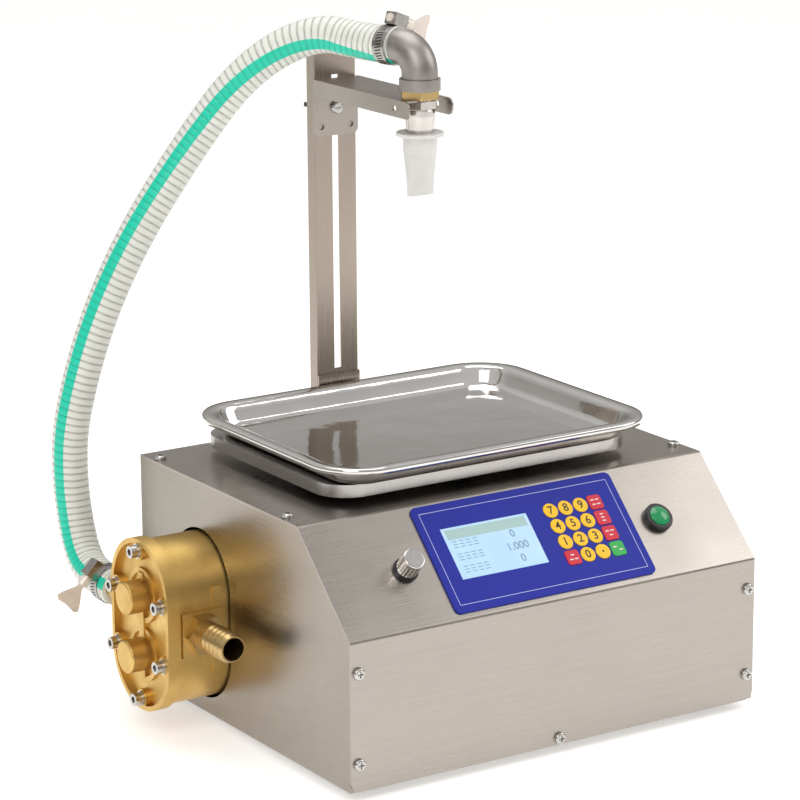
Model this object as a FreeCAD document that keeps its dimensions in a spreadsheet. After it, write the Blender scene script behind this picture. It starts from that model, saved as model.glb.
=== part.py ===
import FreeCAD, Part
import math
import os
import Sketcher

# A benchtop weighing filler for thick liquids.  A gear pump on the left side wall
# pushes the liquid through a hose to a nozzle that hangs above a weighing tray.
# Frame: +Z up, z = 0 at the soles of the feet, X along the front (right positive),
# Y to the back, and x = y = 0 at the centre of the casing.  Millimetres.

Vector = FreeCAD.Vector
Rotation = FreeCAD.Rotation
Placement = FreeCAD.Placement

DRIVING_SIZES = {
    # casing
    "case_width": 380,
    "case_depth": 318,
    "case_height": 190,
    "slope_run": 73,
    "slope_angle": 44.6,
    "sheet_wall": 1.5,
    "lip_width": 16,
    "bend_radius": 4,
    "foot_height": 8,
    "foot_radius": 12,
    "foot_inset": 33,
    "screw_radius": 2.5,
    "screw_head_radius": 4.75,
    "screw_head_height": 3.2,
    "screw_gap": 0.05,
    "screw_inset": 7,
    # weighing
    "platform_width": 286,
    "platform_depth": 210,
    "platform_back_gap": 12,
    "platform_thick": 10,
    "platform_gap": 6,
    "platform_corner": 28,
    "tray_width": 306,
    "tray_depth": 243,
    "tray_back_gap": 4,
    "tray_height": 18,
    "tray_wall": 1,
    "tray_rim": 11,
    "tray_rim_drop": 5,
    "tray_flare": 10,
    "tray_corner": 44,
    "post_radius": 6,
    "post_gap": 2,
    "post_span_x": 150,
    "post_span_y": 90,
    "spider_thick": 3,
    "cell_length": 130,
    "cell_width": 30,
    "cell_height": 22,
    "cell_pad": 3,
    "bridge_thick": 2,
    "bridge_height": 140,
    # pump
    "pump_axis_y": 63,
    "pump_axis_z": 90,
    "gear_module": 4,
    "gear_teeth": 12,
    "gear_width": 32,
    "gear_end_gap": 0.08,
    "gear_tip_gap": 0.1,
    "pump_wall": 15.3,
    "pump_reach": 45,
    "pump_inner_reach": 10,
    "cover_thick": 11,
    "cover_overhang": 3,
    "cover_rim": 4,
    "boss_radius": 13.25,
    "boss_length": 14,
    "bolt_radius": 3,
    "bolt_head_radius": 5,
    "bolt_head_length": 6,
    "bolt_wall": 9,
    "shaft_radius": 7,
    "bush_wall": 2,
    "bush_length": 14,
    "running_gap": 0.05,
    "port_offset": 25,
    "barb_radius": 12,
    "barb_bore": 9.8,
    "barb_stem_radius": 11,
    "fitting_hex": 29,
    "motor_radius": 42,
    "motor_length": 150,
    # hose and nozzle
    "hose_fit_gap": 0.1,
    "hose_wall": 2.9,
    "clamp_width": 12,
    "clamp_band": 0.8,
    "clamp_gap": 0.05,
    "arm_width": 42,
    "arm_wall": 1.5,
    "arm_top": 487.5,
    "arm_flange": 13.5,
    "arm_nose": 16,
    "plate_height": 47.5,
    "nozzle_offset": 0.5,
    "nozzle_bore": 7,
    "nozzle_thread": 10,
    "nozzle_hex": 24,
    "spigot_radius": 10.5,
    "elbow_radius": 14.25,
    "elbow_bend": 20,
    "elbow_turn": 14,
    "elbow_axis_z": 526.5,
    "locknut_height": 6.7,
    "locknut_hex": 29,
    # column
    "column_width": 40,
    "column_depth": 11.5,
    "column_wall": 1.5,
    "column_bottom": 60,
    "foot_plate": 2,
    "column_top": 508,
    "slot_gap": 0.3,
    "slot_bottom": 243,
    "clamp_bolt_radius": 3,
    "clamp_bolt_z": 463,
    # control panel
    "overlay_width": 188,
    "overlay_length": 94,
    "overlay_thick": 1.5,
    "overlay_corner": 5,
    "lcd_width": 80,
    "lcd_length": 45,
    "key_pitch": 14.3,
    "key_radius": 6.4,
    "key_gap": 0.15,
    "key_travel": 0.5,
    "key_proud": 0.7,
    "knob_radius": 8.75,
    "knob_height": 17,
    "pot_shaft_radius": 3,
    "button_radius": 8.4,
    "button_bezel_radius": 12,
    "button_travel": 3,
}

document = FreeCAD.newDocument("weighing_filler")
sheet = document.addObject("Spreadsheet::Sheet", "sizes")
for row, (alias, value) in enumerate(DRIVING_SIZES.items(), start=1):
    sheet.set("A%d" % row, alias)
    sheet.set("B%d" % row, str(value))
    sheet.setAlias("B%d" % row, alias)
document.recompute()


class Size:
    """A value from the sheet together with the expression that gives it."""

    def __init__(self, value, text):
        self.value = float(value)
        self.text = text

    def __float__(self):
        return self.value

    def __neg__(self):
        return Size(-self.value, "(-1 * %s)" % self.text)

    def __add__(self, other):
        other = as_size(other)
        return Size(self.value + other.value, "(%s + %s)" % (self.text, other.text))

    def __sub__(self, other):
        other = as_size(other)
        return Size(self.value - other.value, "(%s - %s)" % (self.text, other.text))

    def __mul__(self, other):
        other = as_size(other)
        return Size(self.value * other.value, "(%s * %s)" % (self.text, other.text))

    def __truediv__(self, other):
        other = as_size(other)
        return Size(self.value / other.value, "(%s / %s)" % (self.text, other.text))

    __radd__ = __add__
    __rmul__ = __mul__

    def __rsub__(self, other):
        return as_size(other) - self


def as_size(value):
    if isinstance(value, Size):
        return value
    return Size(value, "(%.9g)" % value)


def size(alias):
    return Size(sheet.get(alias), "sizes." + alias)


def tangent(angle):
    return Size(math.tan(math.radians(angle.value)), "tan(%s)" % angle.text)


nodes = []


def keep(thing, name):
    """Name a finished piece: its label is its node and its file."""
    thing.Label = name
    nodes.append(thing)
    return thing


def bind(thing, **properties):
    for name, value in properties.items():
        thing.setExpression(name, as_size(value).text)
    return thing


def move(thing, x=0, y=0, z=0):
    for axis, value in zip("xyz", (x, y, z)):
        thing.setExpression("Placement.Base." + axis, as_size(value).text)
    return thing


def spot(x, y, z, rotation=None):
    return Placement(Vector(float(x), float(y), float(z)), rotation or Rotation())


def box(name, width, depth, height, x=0, y=0, z=0):
    """A block centred on x and y that stands on z."""
    block = document.addObject("Part::Box", name)
    bind(block, Length=width, Width=depth, Height=height)
    return move(block, as_size(x) - as_size(width) / 2, as_size(y) - as_size(depth) / 2, z)


AXIS_TURN = {
    "x": Rotation(Vector(0, 0, 1), Vector(1, 0, 0)),
    "y": Rotation(Vector(0, 0, 1), Vector(0, 1, 0)),
    "z": Rotation(),
    "-x": Rotation(Vector(0, 0, 1), Vector(-1, 0, 0)),
    "-y": Rotation(Vector(0, 0, 1), Vector(0, -1, 0)),
}


def rod(name, radius, height, x=0, y=0, z=0, axis="z"):
    cylinder = document.addObject("Part::Cylinder", name)
    bind(cylinder, Radius=radius, Height=height)
    cylinder.Placement = Placement(Vector(), AXIS_TURN[axis])
    return move(cylinder, x, y, z)


def fuse(name, *pieces):
    joined = document.addObject("Part::MultiFuse", name)
    joined.Shapes = list(pieces)
    return joined


def cut(name, base, tool):
    result = document.addObject("Part::Cut", name)
    result.Base = base
    result.Tool = tool
    return result


def made(name, shape, placement=None):
    """A piece whose shape the code above it worked out from the sheet."""
    feature = document.addObject("Part::Feature", name)
    feature.Shape = shape
    if placement:
        feature.Placement = placement.multiply(shape.Placement)
    return feature


def placed(shape, placement):
    """A copy of a shape, carried from its own frame into another."""
    moved = shape.copy()
    moved.Placement = placement.multiply(shape.Placement)
    return moved


def sketch_on(body, role):
    plane = [item for item in body.Origin.OriginFeatures if item.Role == role][0]
    sketch = body.newObject("Sketcher::SketchObject", "profile")
    sketch.AttachmentSupport = [(plane, "")]
    sketch.MapMode = "FlatFace"
    return sketch


def draw_outline(sketch, corners):
    """A closed outline of straight lines, each corner tied to the sheet."""
    first = sketch.GeometryCount
    spots = [Vector(float(across), float(up), 0) for across, up in corners]
    count = len(spots)
    for index in range(count):
        sketch.addGeometry(Part.LineSegment(spots[index], spots[(index + 1) % count]), False)
    for index in range(count):
        after = first + (index + 1) % count
        sketch.addConstraint(Sketcher.Constraint("Coincident", first + index, 2, after, 1))
    for index, corner in enumerate(corners):
        for kind, value in zip(("DistanceX", "DistanceY"), corner):
            value = as_size(value)
            rule = Sketcher.Constraint(kind, -1, 1, first + index, 1, value.value)
            number = sketch.addConstraint(rule)
            sketch.setExpression("Constraints[%d]" % number, value.text)


def new_body(name):
    return document.addObject("PartDesign::Body", name)


def feature_from(body, kind, sketch, length=None, midplane=True, reverse=False):
    feature = body.newObject("PartDesign::" + kind, kind.lower())
    feature.Profile = sketch
    if length is not None:
        bind(feature, Length=length)
        feature.Midplane = midplane
        feature.Reversed = reverse
    return feature


def prism(body, role, corners, length, kind="Pad", midplane=True, reverse=False):
    sketch = sketch_on(body, role)
    draw_outline(sketch, corners)
    return feature_from(body, kind, sketch, length, midplane, reverse)


def turned(name, outline):
    """A body turned about its own Z axis from an outline of radius and height."""
    body = new_body(name)
    sketch = sketch_on(body, "XZ_Plane")
    draw_outline(sketch, outline)
    turn = feature_from(body, "Revolution", sketch)
    turn.ReferenceAxis = (sketch, ["V_Axis"])
    turn.Angle = 360
    return body


def rectangle(width, height, across=0, up=0):
    left = as_size(across) - as_size(width) / 2
    right = as_size(across) + as_size(width) / 2
    low = as_size(up) - as_size(height) / 2
    high = as_size(up) + as_size(height) / 2
    return [(left, low), (right, low), (right, high), (left, high)]


def edges_at(feature, points, reach=0.6):
    """Names of the edges whose middles lie at the given points."""
    document.recompute()
    found = []
    for index, edge in enumerate(feature.Shape.Edges, start=1):
        middle = edge.BoundBox.Center
        if any(middle.distanceToPoint(Vector(*map(float, point))) < reach for point in points):
            found.append("Edge%d" % index)
    return found


def round_edges(body, base, points, radius, reach=0.6):
    fillet = body.newObject("PartDesign::Fillet", "rounding")
    fillet.Base = (base, edges_at(base, points, reach))
    bind(fillet, Radius=radius)
    return fillet


def stadium(centre_gap, radius, length):
    """Two round ends joined, standing on Z, its long way along Y."""
    radius = float(radius)
    length = float(length)
    half = float(centre_gap) / 2
    shape = Part.makeBox(2 * radius, 2 * half, length, Vector(-radius, -half, 0))
    for side in (-1, 1):
        shape = shape.fuse(Part.makeCylinder(radius, length, Vector(0, side * half, 0)))
    return shape.removeSplitter()


def hexagon(across_flats, height, base=0):
    corner = float(across_flats) / math.sqrt(3)
    points = [
        Vector(corner * math.cos(math.radians(60 * k)), corner * math.sin(math.radians(60 * k)), float(base))
        for k in range(7)
    ]
    return Part.Face(Part.makePolygon(points)).extrude(Vector(0, 0, float(height)))


def group(shapes):
    return Part.makeCompound(shapes)


# ---------------------------------------------------------------------------
# Places that several pieces share
# ---------------------------------------------------------------------------
wall = size("sheet_wall")
half_width = size("case_width") / 2
front = size("case_depth") / -2
back = size("case_depth") / 2
floor_z = size("foot_height")
top_z = size("foot_height") + size("case_height")
slope_rise = size("slope_run") * tangent(size("slope_angle"))
knee_z = top_z - slope_rise
slope_top_y = front + size("slope_run")
knee_inset = wall * tangent((90 - size("slope_angle")) / 2)
bend_inset = wall * tangent(size("slope_angle") / 2)

# The tray and the platform stand in front of the column, the nozzle over the tray.
platform_y = back - size("platform_back_gap") - size("platform_depth") / 2
tray_y = back - size("tray_back_gap") - size("tray_depth") / 2
nozzle_y = tray_y + size("nozzle_offset")

# The hose fits over the tails, and its clamps fit over the hose.
hose_bore = float(size("barb_radius") + size("hose_fit_gap"))
hose_radius = hose_bore + float(size("hose_wall"))

# The slope has its own directions: along X, and up the slope.
slope_turn = Rotation(Vector(1, 0, 0), float(size("slope_angle")))


def on_slope(x, up, lift=0):
    """A place on the sloped front, at a distance up it from the knee."""
    local = slope_turn.multVec(Vector(float(x), float(up), float(lift)))
    return Placement(local + Vector(0, float(front), float(knee_z)), slope_turn)


# Places on the slope, all set out from the middle of the printed overlay.
panel_up = float(size("overlay_length")) / 2 + 5
panel_x = 1
panel_half = float(size("overlay_width")) / 2
key_corner_x = panel_x + 26.3
key_corner_up = panel_up + 22.6
lcd_x = panel_x - 35.8
lcd_up = panel_up + 2.6
knob_x = panel_x - panel_half - 25.7
knob_up = panel_up - 2.7
button_x = panel_x + panel_half + 24.3
button_up = panel_up - 1.5

# Screw places: two up each side of the front, one at its foot, four on the top
# and four on the rear panel, and four more through the column's foot.
screw_x = float(half_width - size("screw_inset"))
front_heights = (float(floor_z) + 22, float(knee_z) - 24.5)
top_lines = (float(slope_top_y) + 26, float(back) - 21)
rear_heights = (float(floor_z) + 32, float(top_z) - 38)
column_heights = (float(size("column_bottom")) + 25, float(size("column_bottom")) + 110)
front_spots = [(x, z) for x in (-screw_x, screw_x) for z in front_heights]
front_spots.append((0, float(floor_z) + 5.5))
top_spots = [(x, y) for x in (-screw_x, screw_x) for y in top_lines]
rear_spots = [(x, z) for x in (-screw_x, screw_x) for z in rear_heights]
column_spots = [(x, z) for x in (-9, 9) for z in column_heights]


def screw_pins(radius, length):
    """Straight pins through every casing screw's place, for its holes."""
    pins = []
    for x, z in front_spots:
        pins.append(Part.makeCylinder(radius, length, Vector(x, float(front) - 1, z), Vector(0, 1, 0)))
    for x, y in top_spots:
        pins.append(Part.makeCylinder(radius, length, Vector(x, y, float(top_z) + 1), Vector(0, 0, -1)))
    for x, z in rear_spots:
        pins.append(Part.makeCylinder(radius, length, Vector(x, float(back) + 1, z), Vector(0, -1, 0)))
    return pins


hole_radius = float(size("screw_radius") + size("screw_gap"))

# ---------------------------------------------------------------------------
# Casing: chassis, wrapped cover, rear panel, feet and screws
# ---------------------------------------------------------------------------
chassis_profile = [
    (front + wall, floor_z),
    (back - wall, floor_z),
    (back - wall, top_z - wall),
    (slope_top_y + bend_inset, top_z - wall),
    (front + wall, knee_z - knee_inset),
]
body = new_body("chassis_shell")
prism(body, "YZ_Plane", chassis_profile, size("case_width"))
double_knee = knee_inset * 2
double_bend = bend_inset * 2
inner_profile = [
    (front + wall * 2, floor_z + wall),
    (back - wall * 2, floor_z + wall),
    (back - wall * 2, top_z - wall * 2),
    (slope_top_y + double_bend, top_z - wall * 2),
    (front + wall * 2, knee_z - double_knee),
]
prism(body, "YZ_Plane", inner_profile, size("case_width") - wall * 2, kind="Pocket")
window_profile = [
    (front - 5, floor_z + wall + size("lip_width") * 0.6),
    (back + 5, floor_z + wall + size("lip_width") * 0.6),
    (back + 5, top_z + 5),
    (front - 5, top_z + 5),
]
prism(body, "YZ_Plane", window_profile, size("case_width") - size("lip_width") * 2, kind="Pocket")


# ---------------------------------------------------------------------------
# Pump frame: its own Z points out of the left side wall, its own Y points up
# ---------------------------------------------------------------------------
shaft_gap = float(size("gear_module") * size("gear_teeth"))
shaft_offset = shaft_gap / 2
tip_radius = float(size("gear_module") * (size("gear_teeth") / 2 + 0.9))
chamber_radius = tip_radius + float(size("gear_tip_gap"))
pump_radius = chamber_radius + float(size("pump_wall"))
pump_reach = float(size("pump_reach"))
pump_inner = float(size("pump_inner_reach"))
cover_low = pump_reach
cover_top = cover_low + float(size("cover_thick"))
chamber_floor = cover_low - float(size("gear_width")) - 6 * float(size("gear_end_gap"))
bush_length = float(size("bush_length"))
shaft_radius = float(size("shaft_radius"))
bush_radius = shaft_radius + float(size("bush_wall"))
bolt_circle = chamber_radius + float(size("bolt_wall"))
running = float(size("running_gap"))
pump_axes = Rotation(Vector(0, -1, 0), Vector(0, 0, 1), Vector(-1, 0, 0), "XYZ")
pump_place = spot(-half_width, size("pump_axis_y"), size("pump_axis_z"), pump_axes)
shaft_ups = {"drive": -shaft_offset, "idler": shaft_offset}
bolt_spots = [(0, side * (shaft_offset + bolt_circle)) for side in (-1, 1)] + [
    (across * bolt_circle, side * shaft_offset) for across in (-1, 1) for side in (-1, 1)
]


def bar(radius, low, high, x=0, y=0):
    """A round bar along Z between two heights."""
    return Part.makeCylinder(radius, high - low, Vector(x, y, low))


def block(width, depth, low, high, x=0, y=0):
    return Part.makeBox(width, depth, high - low, Vector(x - width / 2, y - depth / 2, low))


def union(shapes):
    return shapes[0].fuse(shapes[1:]).removeSplitter()


def long_round(radius, low, high):
    shape = stadium(shaft_gap, radius, high - low)
    shape.translate(Vector(0, 0, low))
    return shape


# ---------------------------------------------------------------------------
# Casing: the chassis is drilled, then the cover, rear panel, feet and screws
# ---------------------------------------------------------------------------
wall_opening = placed(long_round(pump_radius + 2.5, -30, 30), pump_place)
chassis_tool = made("chassis_holes", group(screw_pins(hole_radius, 14) + [wall_opening]))
keep(cut("chassis", body, chassis_tool), "chassis")

cover_profile = [
    (front, floor_z),
    (front + wall, floor_z),
    (front + wall, knee_z - knee_inset),
    (slope_top_y + bend_inset, top_z - wall),
    (back, top_z - wall),
    (back, top_z),
    (slope_top_y, top_z),
    (front, knee_z),
]
body = new_body("cover_shell")
pad = prism(body, "YZ_Plane", cover_profile, size("case_width"))
bends = round_edges(body, pad, [(0, front, knee_z), (0, slope_top_y, top_z)], size("bend_radius"))
skirt_middle = (front + front + wall) / 2
skirt_corners = [(half_width * side, skirt_middle, floor_z) for side in (-1, 1)]
round_edges(body, bends, skirt_corners, size("bend_radius") * 2)

lcd_gap = 0.4
cover_cuts = screw_pins(hole_radius, 14)
for post_x in (-1, 1):
    for post_y in (-1, 1):
        x = post_x * float(size("post_span_x")) / 2
        y = float(platform_y) + post_y * float(size("post_span_y")) / 2
        hole = bar(float(size("post_radius") + size("post_gap")), float(top_z) - 10, float(top_z) + 10, x, y)
        cover_cuts.append(hole)
lcd_window = block(float(size("lcd_width")) + lcd_gap, float(size("lcd_length")) + lcd_gap, -10, 10)
lcd_window = placed(lcd_window, on_slope(lcd_x, lcd_up))
knob_hole = placed(bar(4, -10, 10), on_slope(knob_x, knob_up))
button_hole = placed(bar(9.6, -10, 10), on_slope(button_x, button_up))
cover_tool = made("cover_holes", group(cover_cuts + [lcd_window, knob_hole, button_hole]))
keep(cut("front_top_cover", body, cover_tool), "front_top_cover")

inlet_x = float(half_width) - 70
inlet_z = float(floor_z) + 62
inlet_width = 46
inlet_height = 30
inlet_gap = 0.2
panel = box("rear_sheet", size("case_width"), wall, size("case_height") - wall, 0, back - wall / 2, floor_z)
rear_y = float(back)
column_pins = [
    Part.makeCylinder(hole_radius, 40, Vector(x, rear_y - 20, z), Vector(0, 1, 0))
    for x, z in column_spots
]
inlet_hole = block(
    inlet_width + inlet_gap * 2,
    40,
    inlet_z - inlet_height / 2 - inlet_gap,
    inlet_z + inlet_height / 2 + inlet_gap,
    inlet_x,
    rear_y,
)
panel_tool = made("rear_holes", group(screw_pins(hole_radius, 14) + column_pins + [inlet_hole]))
keep(cut("rear_panel", panel, panel_tool), "rear_panel")

foot_across = float(half_width - size("foot_inset"))
foot_along = float(back - size("foot_inset"))
foot_shape = Part.makeCone(
    float(size("foot_radius")) - 1.5, float(size("foot_radius")), float(size("foot_height"))
)
foot_shape = foot_shape.cut(bar(4, 0, 3))
feet = []
for x in (-foot_across, foot_across):
    for y in (-foot_along, foot_along):
        foot = foot_shape.copy()
        foot.translate(Vector(x, y, 0))
        feet.append(foot)
keep(made("rubber_feet", group(feet)), "rubber_feet")


def pan_screw(length):
    """A pan-head screw with a cross recess; its head seats on z = 0."""
    head_radius = float(size("screw_head_radius"))
    head_height = float(size("screw_head_height"))
    head = bar(head_radius, 0, head_height)
    rim = [edge for edge in head.Edges if edge.BoundBox.ZMin > head_height - 0.1]
    head = head.makeFillet(head_height * 0.55, rim)
    recess_low = head_height - 1.8
    cross = block(5.2, 1.2, recess_low, head_height).fuse(block(1.2, 5.2, recess_low, head_height))
    return head.cut(cross).fuse(bar(float(size("screw_radius")), -length, 0)).removeSplitter()


casing_screws = []


def seat_screw(length, x, y, z, outward):
    seat = Placement(Vector(x, y, z), Rotation(Vector(0, 0, 1), outward))
    casing_screws.append(placed(pan_screw(length), seat))


for x, z in front_spots:
    seat_screw(8, x, float(front), z, Vector(0, -1, 0))
for x, y in top_spots:
    seat_screw(8, x, y, float(top_z), Vector(0, 0, 1))
for x, z in rear_spots:
    seat_screw(8, x, float(back), z, Vector(0, 1, 0))
web_face = float(back + size("foot_plate") + size("column_wall"))
for x, z in column_spots:
    seat_screw(9, x, web_face, z, Vector(0, 1, 0))
keep(made("casing_screws", group(casing_screws)), "casing_screws")

# ---------------------------------------------------------------------------
# Weighing: bridge over the motor, load cell, spider, platform and loose tray
# ---------------------------------------------------------------------------
deck_z = floor_z + wall
bridge_half = size("motor_radius") + 10
leg = size("bridge_thick")
bridge_top = size("bridge_height")
bridge_profile = [
    (-bridge_half - 14, 0),
    (-bridge_half, 0),
    (-bridge_half, bridge_top - leg),
    (bridge_half, bridge_top - leg),
    (bridge_half, 0),
    (bridge_half + 14, 0),
    (bridge_half + 14, leg),
    (bridge_half + leg, leg),
    (bridge_half + leg, bridge_top),
    (-bridge_half - leg, bridge_top),
    (-bridge_half - leg, leg),
    (-bridge_half - 14, leg),
]
body = keep(new_body("bridge"), "load_cell_bridge")
prism(body, "YZ_Plane", bridge_profile, size("cell_length") + 20)
move(body, 0, size("pump_axis_y"), deck_z)

cell_low = deck_z + bridge_top + size("cell_pad")
cell_y = platform_y
cell_end = size("cell_length") / 2 - size("cell_width") / 2
pad_side = size("cell_width")
cell_bar = box("cell_bar", size("cell_length"), pad_side, size("cell_height"), 0, cell_y, cell_low)
fixed_pad = box("cell_foot", pad_side, pad_side, size("cell_pad"), -cell_end, cell_y, deck_z + bridge_top)
free_pad_z = cell_low + size("cell_height")
free_pad = box("cell_head", pad_side, pad_side, size("cell_pad"), cell_end, cell_y, free_pad_z)
cell_solid = fuse("cell_solid", cell_bar, fixed_pad, free_pad)
bore_z = cell_low + size("cell_height") / 2
bore_y = cell_y - size("cell_width")
bores = [
    rod("cell_bore", size("cell_height") * 0.38, size("cell_width") * 2, side * 9, bore_y, bore_z, "y")
    for side in (-1, 1)
]
keep(cut("load_cell", cell_solid, fuse("cell_bores", *bores)), "load_cell")

spider_z = free_pad_z + size("cell_pad")
platform_z = top_z + size("platform_gap")
spider_plate = box(
    "spider_plate",
    size("post_span_x") + 24,
    size("post_span_y") + 24,
    size("spider_thick"),
    0,
    cell_y,
    spider_z,
)
posts = [
    rod(
        "spider_post",
        size("post_radius"),
        platform_z - spider_z,
        size("post_span_x") / 2 * across,
        cell_y + size("post_span_y") / 2 * along,
        spider_z,
    )
    for across in (-1, 1)
    for along in (-1, 1)
]
keep(fuse("platform_spider", spider_plate, *posts), "platform_spider")

body = keep(new_body("platform"), "weighing_platform")
pad = prism(
    body,
    "XY_Plane",
    rectangle(size("platform_width"), size("platform_depth")),
    size("platform_thick"),
    midplane=False,
)
middle_z = size("platform_thick") / 2
platform_corners = [
    (size("platform_width") / 2 * across, size("platform_depth") / 2 * along, middle_z)
    for across in (-1, 1)
    for along in (-1, 1)
]
round_edges(body, pad, platform_corners, size("platform_corner"))
move(body, 0, platform_y, platform_z)

tray_z = float(platform_z + size("platform_thick"))


def round_rectangle(width, depth, corner, z):
    """The wire of a rectangle with round corners, at a height."""
    half_w = width / 2 - corner
    half_d = depth / 2 - corner
    edges = []
    for turn, (side_x, side_y) in enumerate(((1, 1), (-1, 1), (-1, -1), (1, -1))):
        centre = Vector(side_x * half_w, side_y * half_d, z)
        arc = Part.makeCircle(corner, centre, Vector(0, 0, 1), 90 * turn, 90 * turn + 90)
        edges.append(arc)
    sides = []
    for index, arc in enumerate(edges):
        following = edges[(index + 1) % 4]
        sides.append(Part.makeLine(arc.Vertexes[-1].Point, following.Vertexes[0].Point))
    ordered = [edge for pair in zip(edges, sides) for edge in pair]
    return Part.Wire(ordered)


def dish(inset, low, high):
    """The flared inside of the tray, drawn in by an inset all round."""
    rim = float(size("tray_rim"))
    flare = float(size("tray_flare"))
    corner = float(size("tray_corner"))
    wires = []
    for shrink, z in ((rim + flare + inset, low), (rim + inset, high)):
        width = float(size("tray_width")) - 2 * shrink
        depth = float(size("tray_depth")) - 2 * shrink
        wires.append(round_rectangle(width, depth, corner - shrink, z))
    return Part.makeLoft(wires, True)


def slab(inset, low, high):
    width = float(size("tray_width")) - 2 * inset
    depth = float(size("tray_depth")) - 2 * inset
    wire = round_rectangle(width, depth, float(size("tray_corner")) - inset, low)
    return Part.Face(wire).extrude(Vector(0, 0, high - low))


tray_wall = float(size("tray_wall"))
tray_high = float(size("tray_height"))
tray_drop = float(size("tray_rim_drop"))
rim_slab = slab(0, tray_high - tray_drop, tray_high)
rim_slab = rim_slab.cut(slab(tray_wall, tray_high - tray_drop - 1, tray_high - tray_wall))
tray_shape = union([dish(0, 0, tray_high), rim_slab])
tray_shape = tray_shape.cut(dish(tray_wall, tray_wall, tray_high + tray_wall * 0.01))
tray_shape = tray_shape.cut(dish(tray_wall, tray_high - 0.5, tray_high + 5))
keep(made("tray", tray_shape, spot(0, tray_y, tray_z)), "tray")

# ---------------------------------------------------------------------------
# Pump: body, cover, gears, shafts, bushes, seal, bolts and fittings
# ---------------------------------------------------------------------------
port_z = float(size("port_offset"))
port_face = pump_radius + 3
thread_depth = 16
thread_radius = float(size("barb_radius")) + 0.5
pad_width = 36

pad_low = port_z - pad_width / 2
body_shape = union(
    [
        long_round(pump_radius, -pump_inner, pump_reach),
        block(2 * port_face, pad_width, pad_low, pad_low + pad_width),
        block(6, 70, pad_low, pad_low + 8, pump_radius - 2.5),
    ]
)
chamber = [bar(chamber_radius, chamber_floor, pump_reach + 1, 0, up) for up in shaft_ups.values()]
bush_low = chamber_floor - bush_length
bush_bores = [bar(bush_radius, bush_low, chamber_floor, 0, up) for up in shaft_ups.values()]
seal_radius = 12.5
seal_low = -pump_inner
seal_high = bush_low
seal_bore = bar(seal_radius, seal_low - 1, seal_high + 0.5, 0, shaft_ups["drive"])
port_start = Vector(-port_face - 1, 0, port_z)
port_bore = float(size("barb_bore"))
ports = [Part.makeCylinder(port_bore, 2 * port_face + 2, port_start, Vector(1, 0, 0))]
for side in (-1, 1):
    mouth = Vector(side * (port_face + 1), 0, port_z)
    ports.append(Part.makeCylinder(thread_radius, thread_depth + 1, mouth, Vector(-side, 0, 0)))
bolt_radius = float(size("bolt_radius"))
bolt_hole = bolt_radius + 0.05
bolt_bores = [bar(bolt_hole, pump_reach - 25, pump_reach + 1, x, y) for x, y in bolt_spots]
body_shape = body_shape.cut(chamber + bush_bores + [seal_bore] + ports + bolt_bores)
keep(made("pump_body", body_shape, pump_place), "pump_body")

clear_bores = [bar(bolt_hole, pump_reach - 5, cover_top + 5, x, y) for x, y in bolt_spots]
cover_radius = pump_radius + float(size("cover_overhang"))
rim_width = float(size("cover_rim"))
recess_floor = cover_top - 5
boss_top = cover_top + float(size("boss_length"))
boss_radius = float(size("boss_radius"))
recess = long_round(cover_radius - rim_width, recess_floor, cover_top + 1)
kept_bosses = [bar(7.5, recess_floor - 1, cover_top, x, y) for x, y in bolt_spots]
kept_ribs = [block(7, 2 * pump_radius, recess_floor - 1, cover_top - 1.5)]
for up in shaft_ups.values():
    ring = bar(boss_radius + 9, recess_floor - 1, cover_top - 2.5, 0, up)
    kept_ribs.append(ring.cut(bar(boss_radius + 5, recess_floor - 2, cover_top, 0, up)))
recess = recess.cut(kept_bosses + kept_ribs)
cover_shape = long_round(cover_radius, cover_low, cover_top).cut(recess)
bosses = [bar(boss_radius, cover_low, boss_top, 0, up) for up in shaft_ups.values()]
cover_shape = union([cover_shape] + bosses)
rim_edges = [
    edge
    for edge in cover_shape.Edges
    if edge.BoundBox.ZMin > boss_top - 0.1
]
cover_shape = cover_shape.makeFillet(1.5, rim_edges)
cover_bores = [bar(bush_radius, cover_low - 1, cover_low + bush_length, 0, up) for up in shaft_ups.values()]
cover_shape = cover_shape.cut(clear_bores + cover_bores)
keep(made("pump_cover", cover_shape, pump_place), "pump_cover")

bushes = []
for up in shaft_ups.values():
    for low in (bush_low, cover_low):
        bush = bar(bush_radius, low, low + bush_length, 0, up)
        bushes.append(bush.cut(bar(shaft_radius + running, low - 1, low + bush_length + 1, 0, up)))
seal = bar(seal_radius, seal_low, seal_high, 0, shaft_ups["drive"])
seal = seal.cut(bar(shaft_radius + running, seal_low - 1, seal_high + 1, 0, shaft_ups["drive"]))
keep(made("bushes_and_seal", group(bushes + [seal]), pump_place), "bushes_and_seal")


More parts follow.
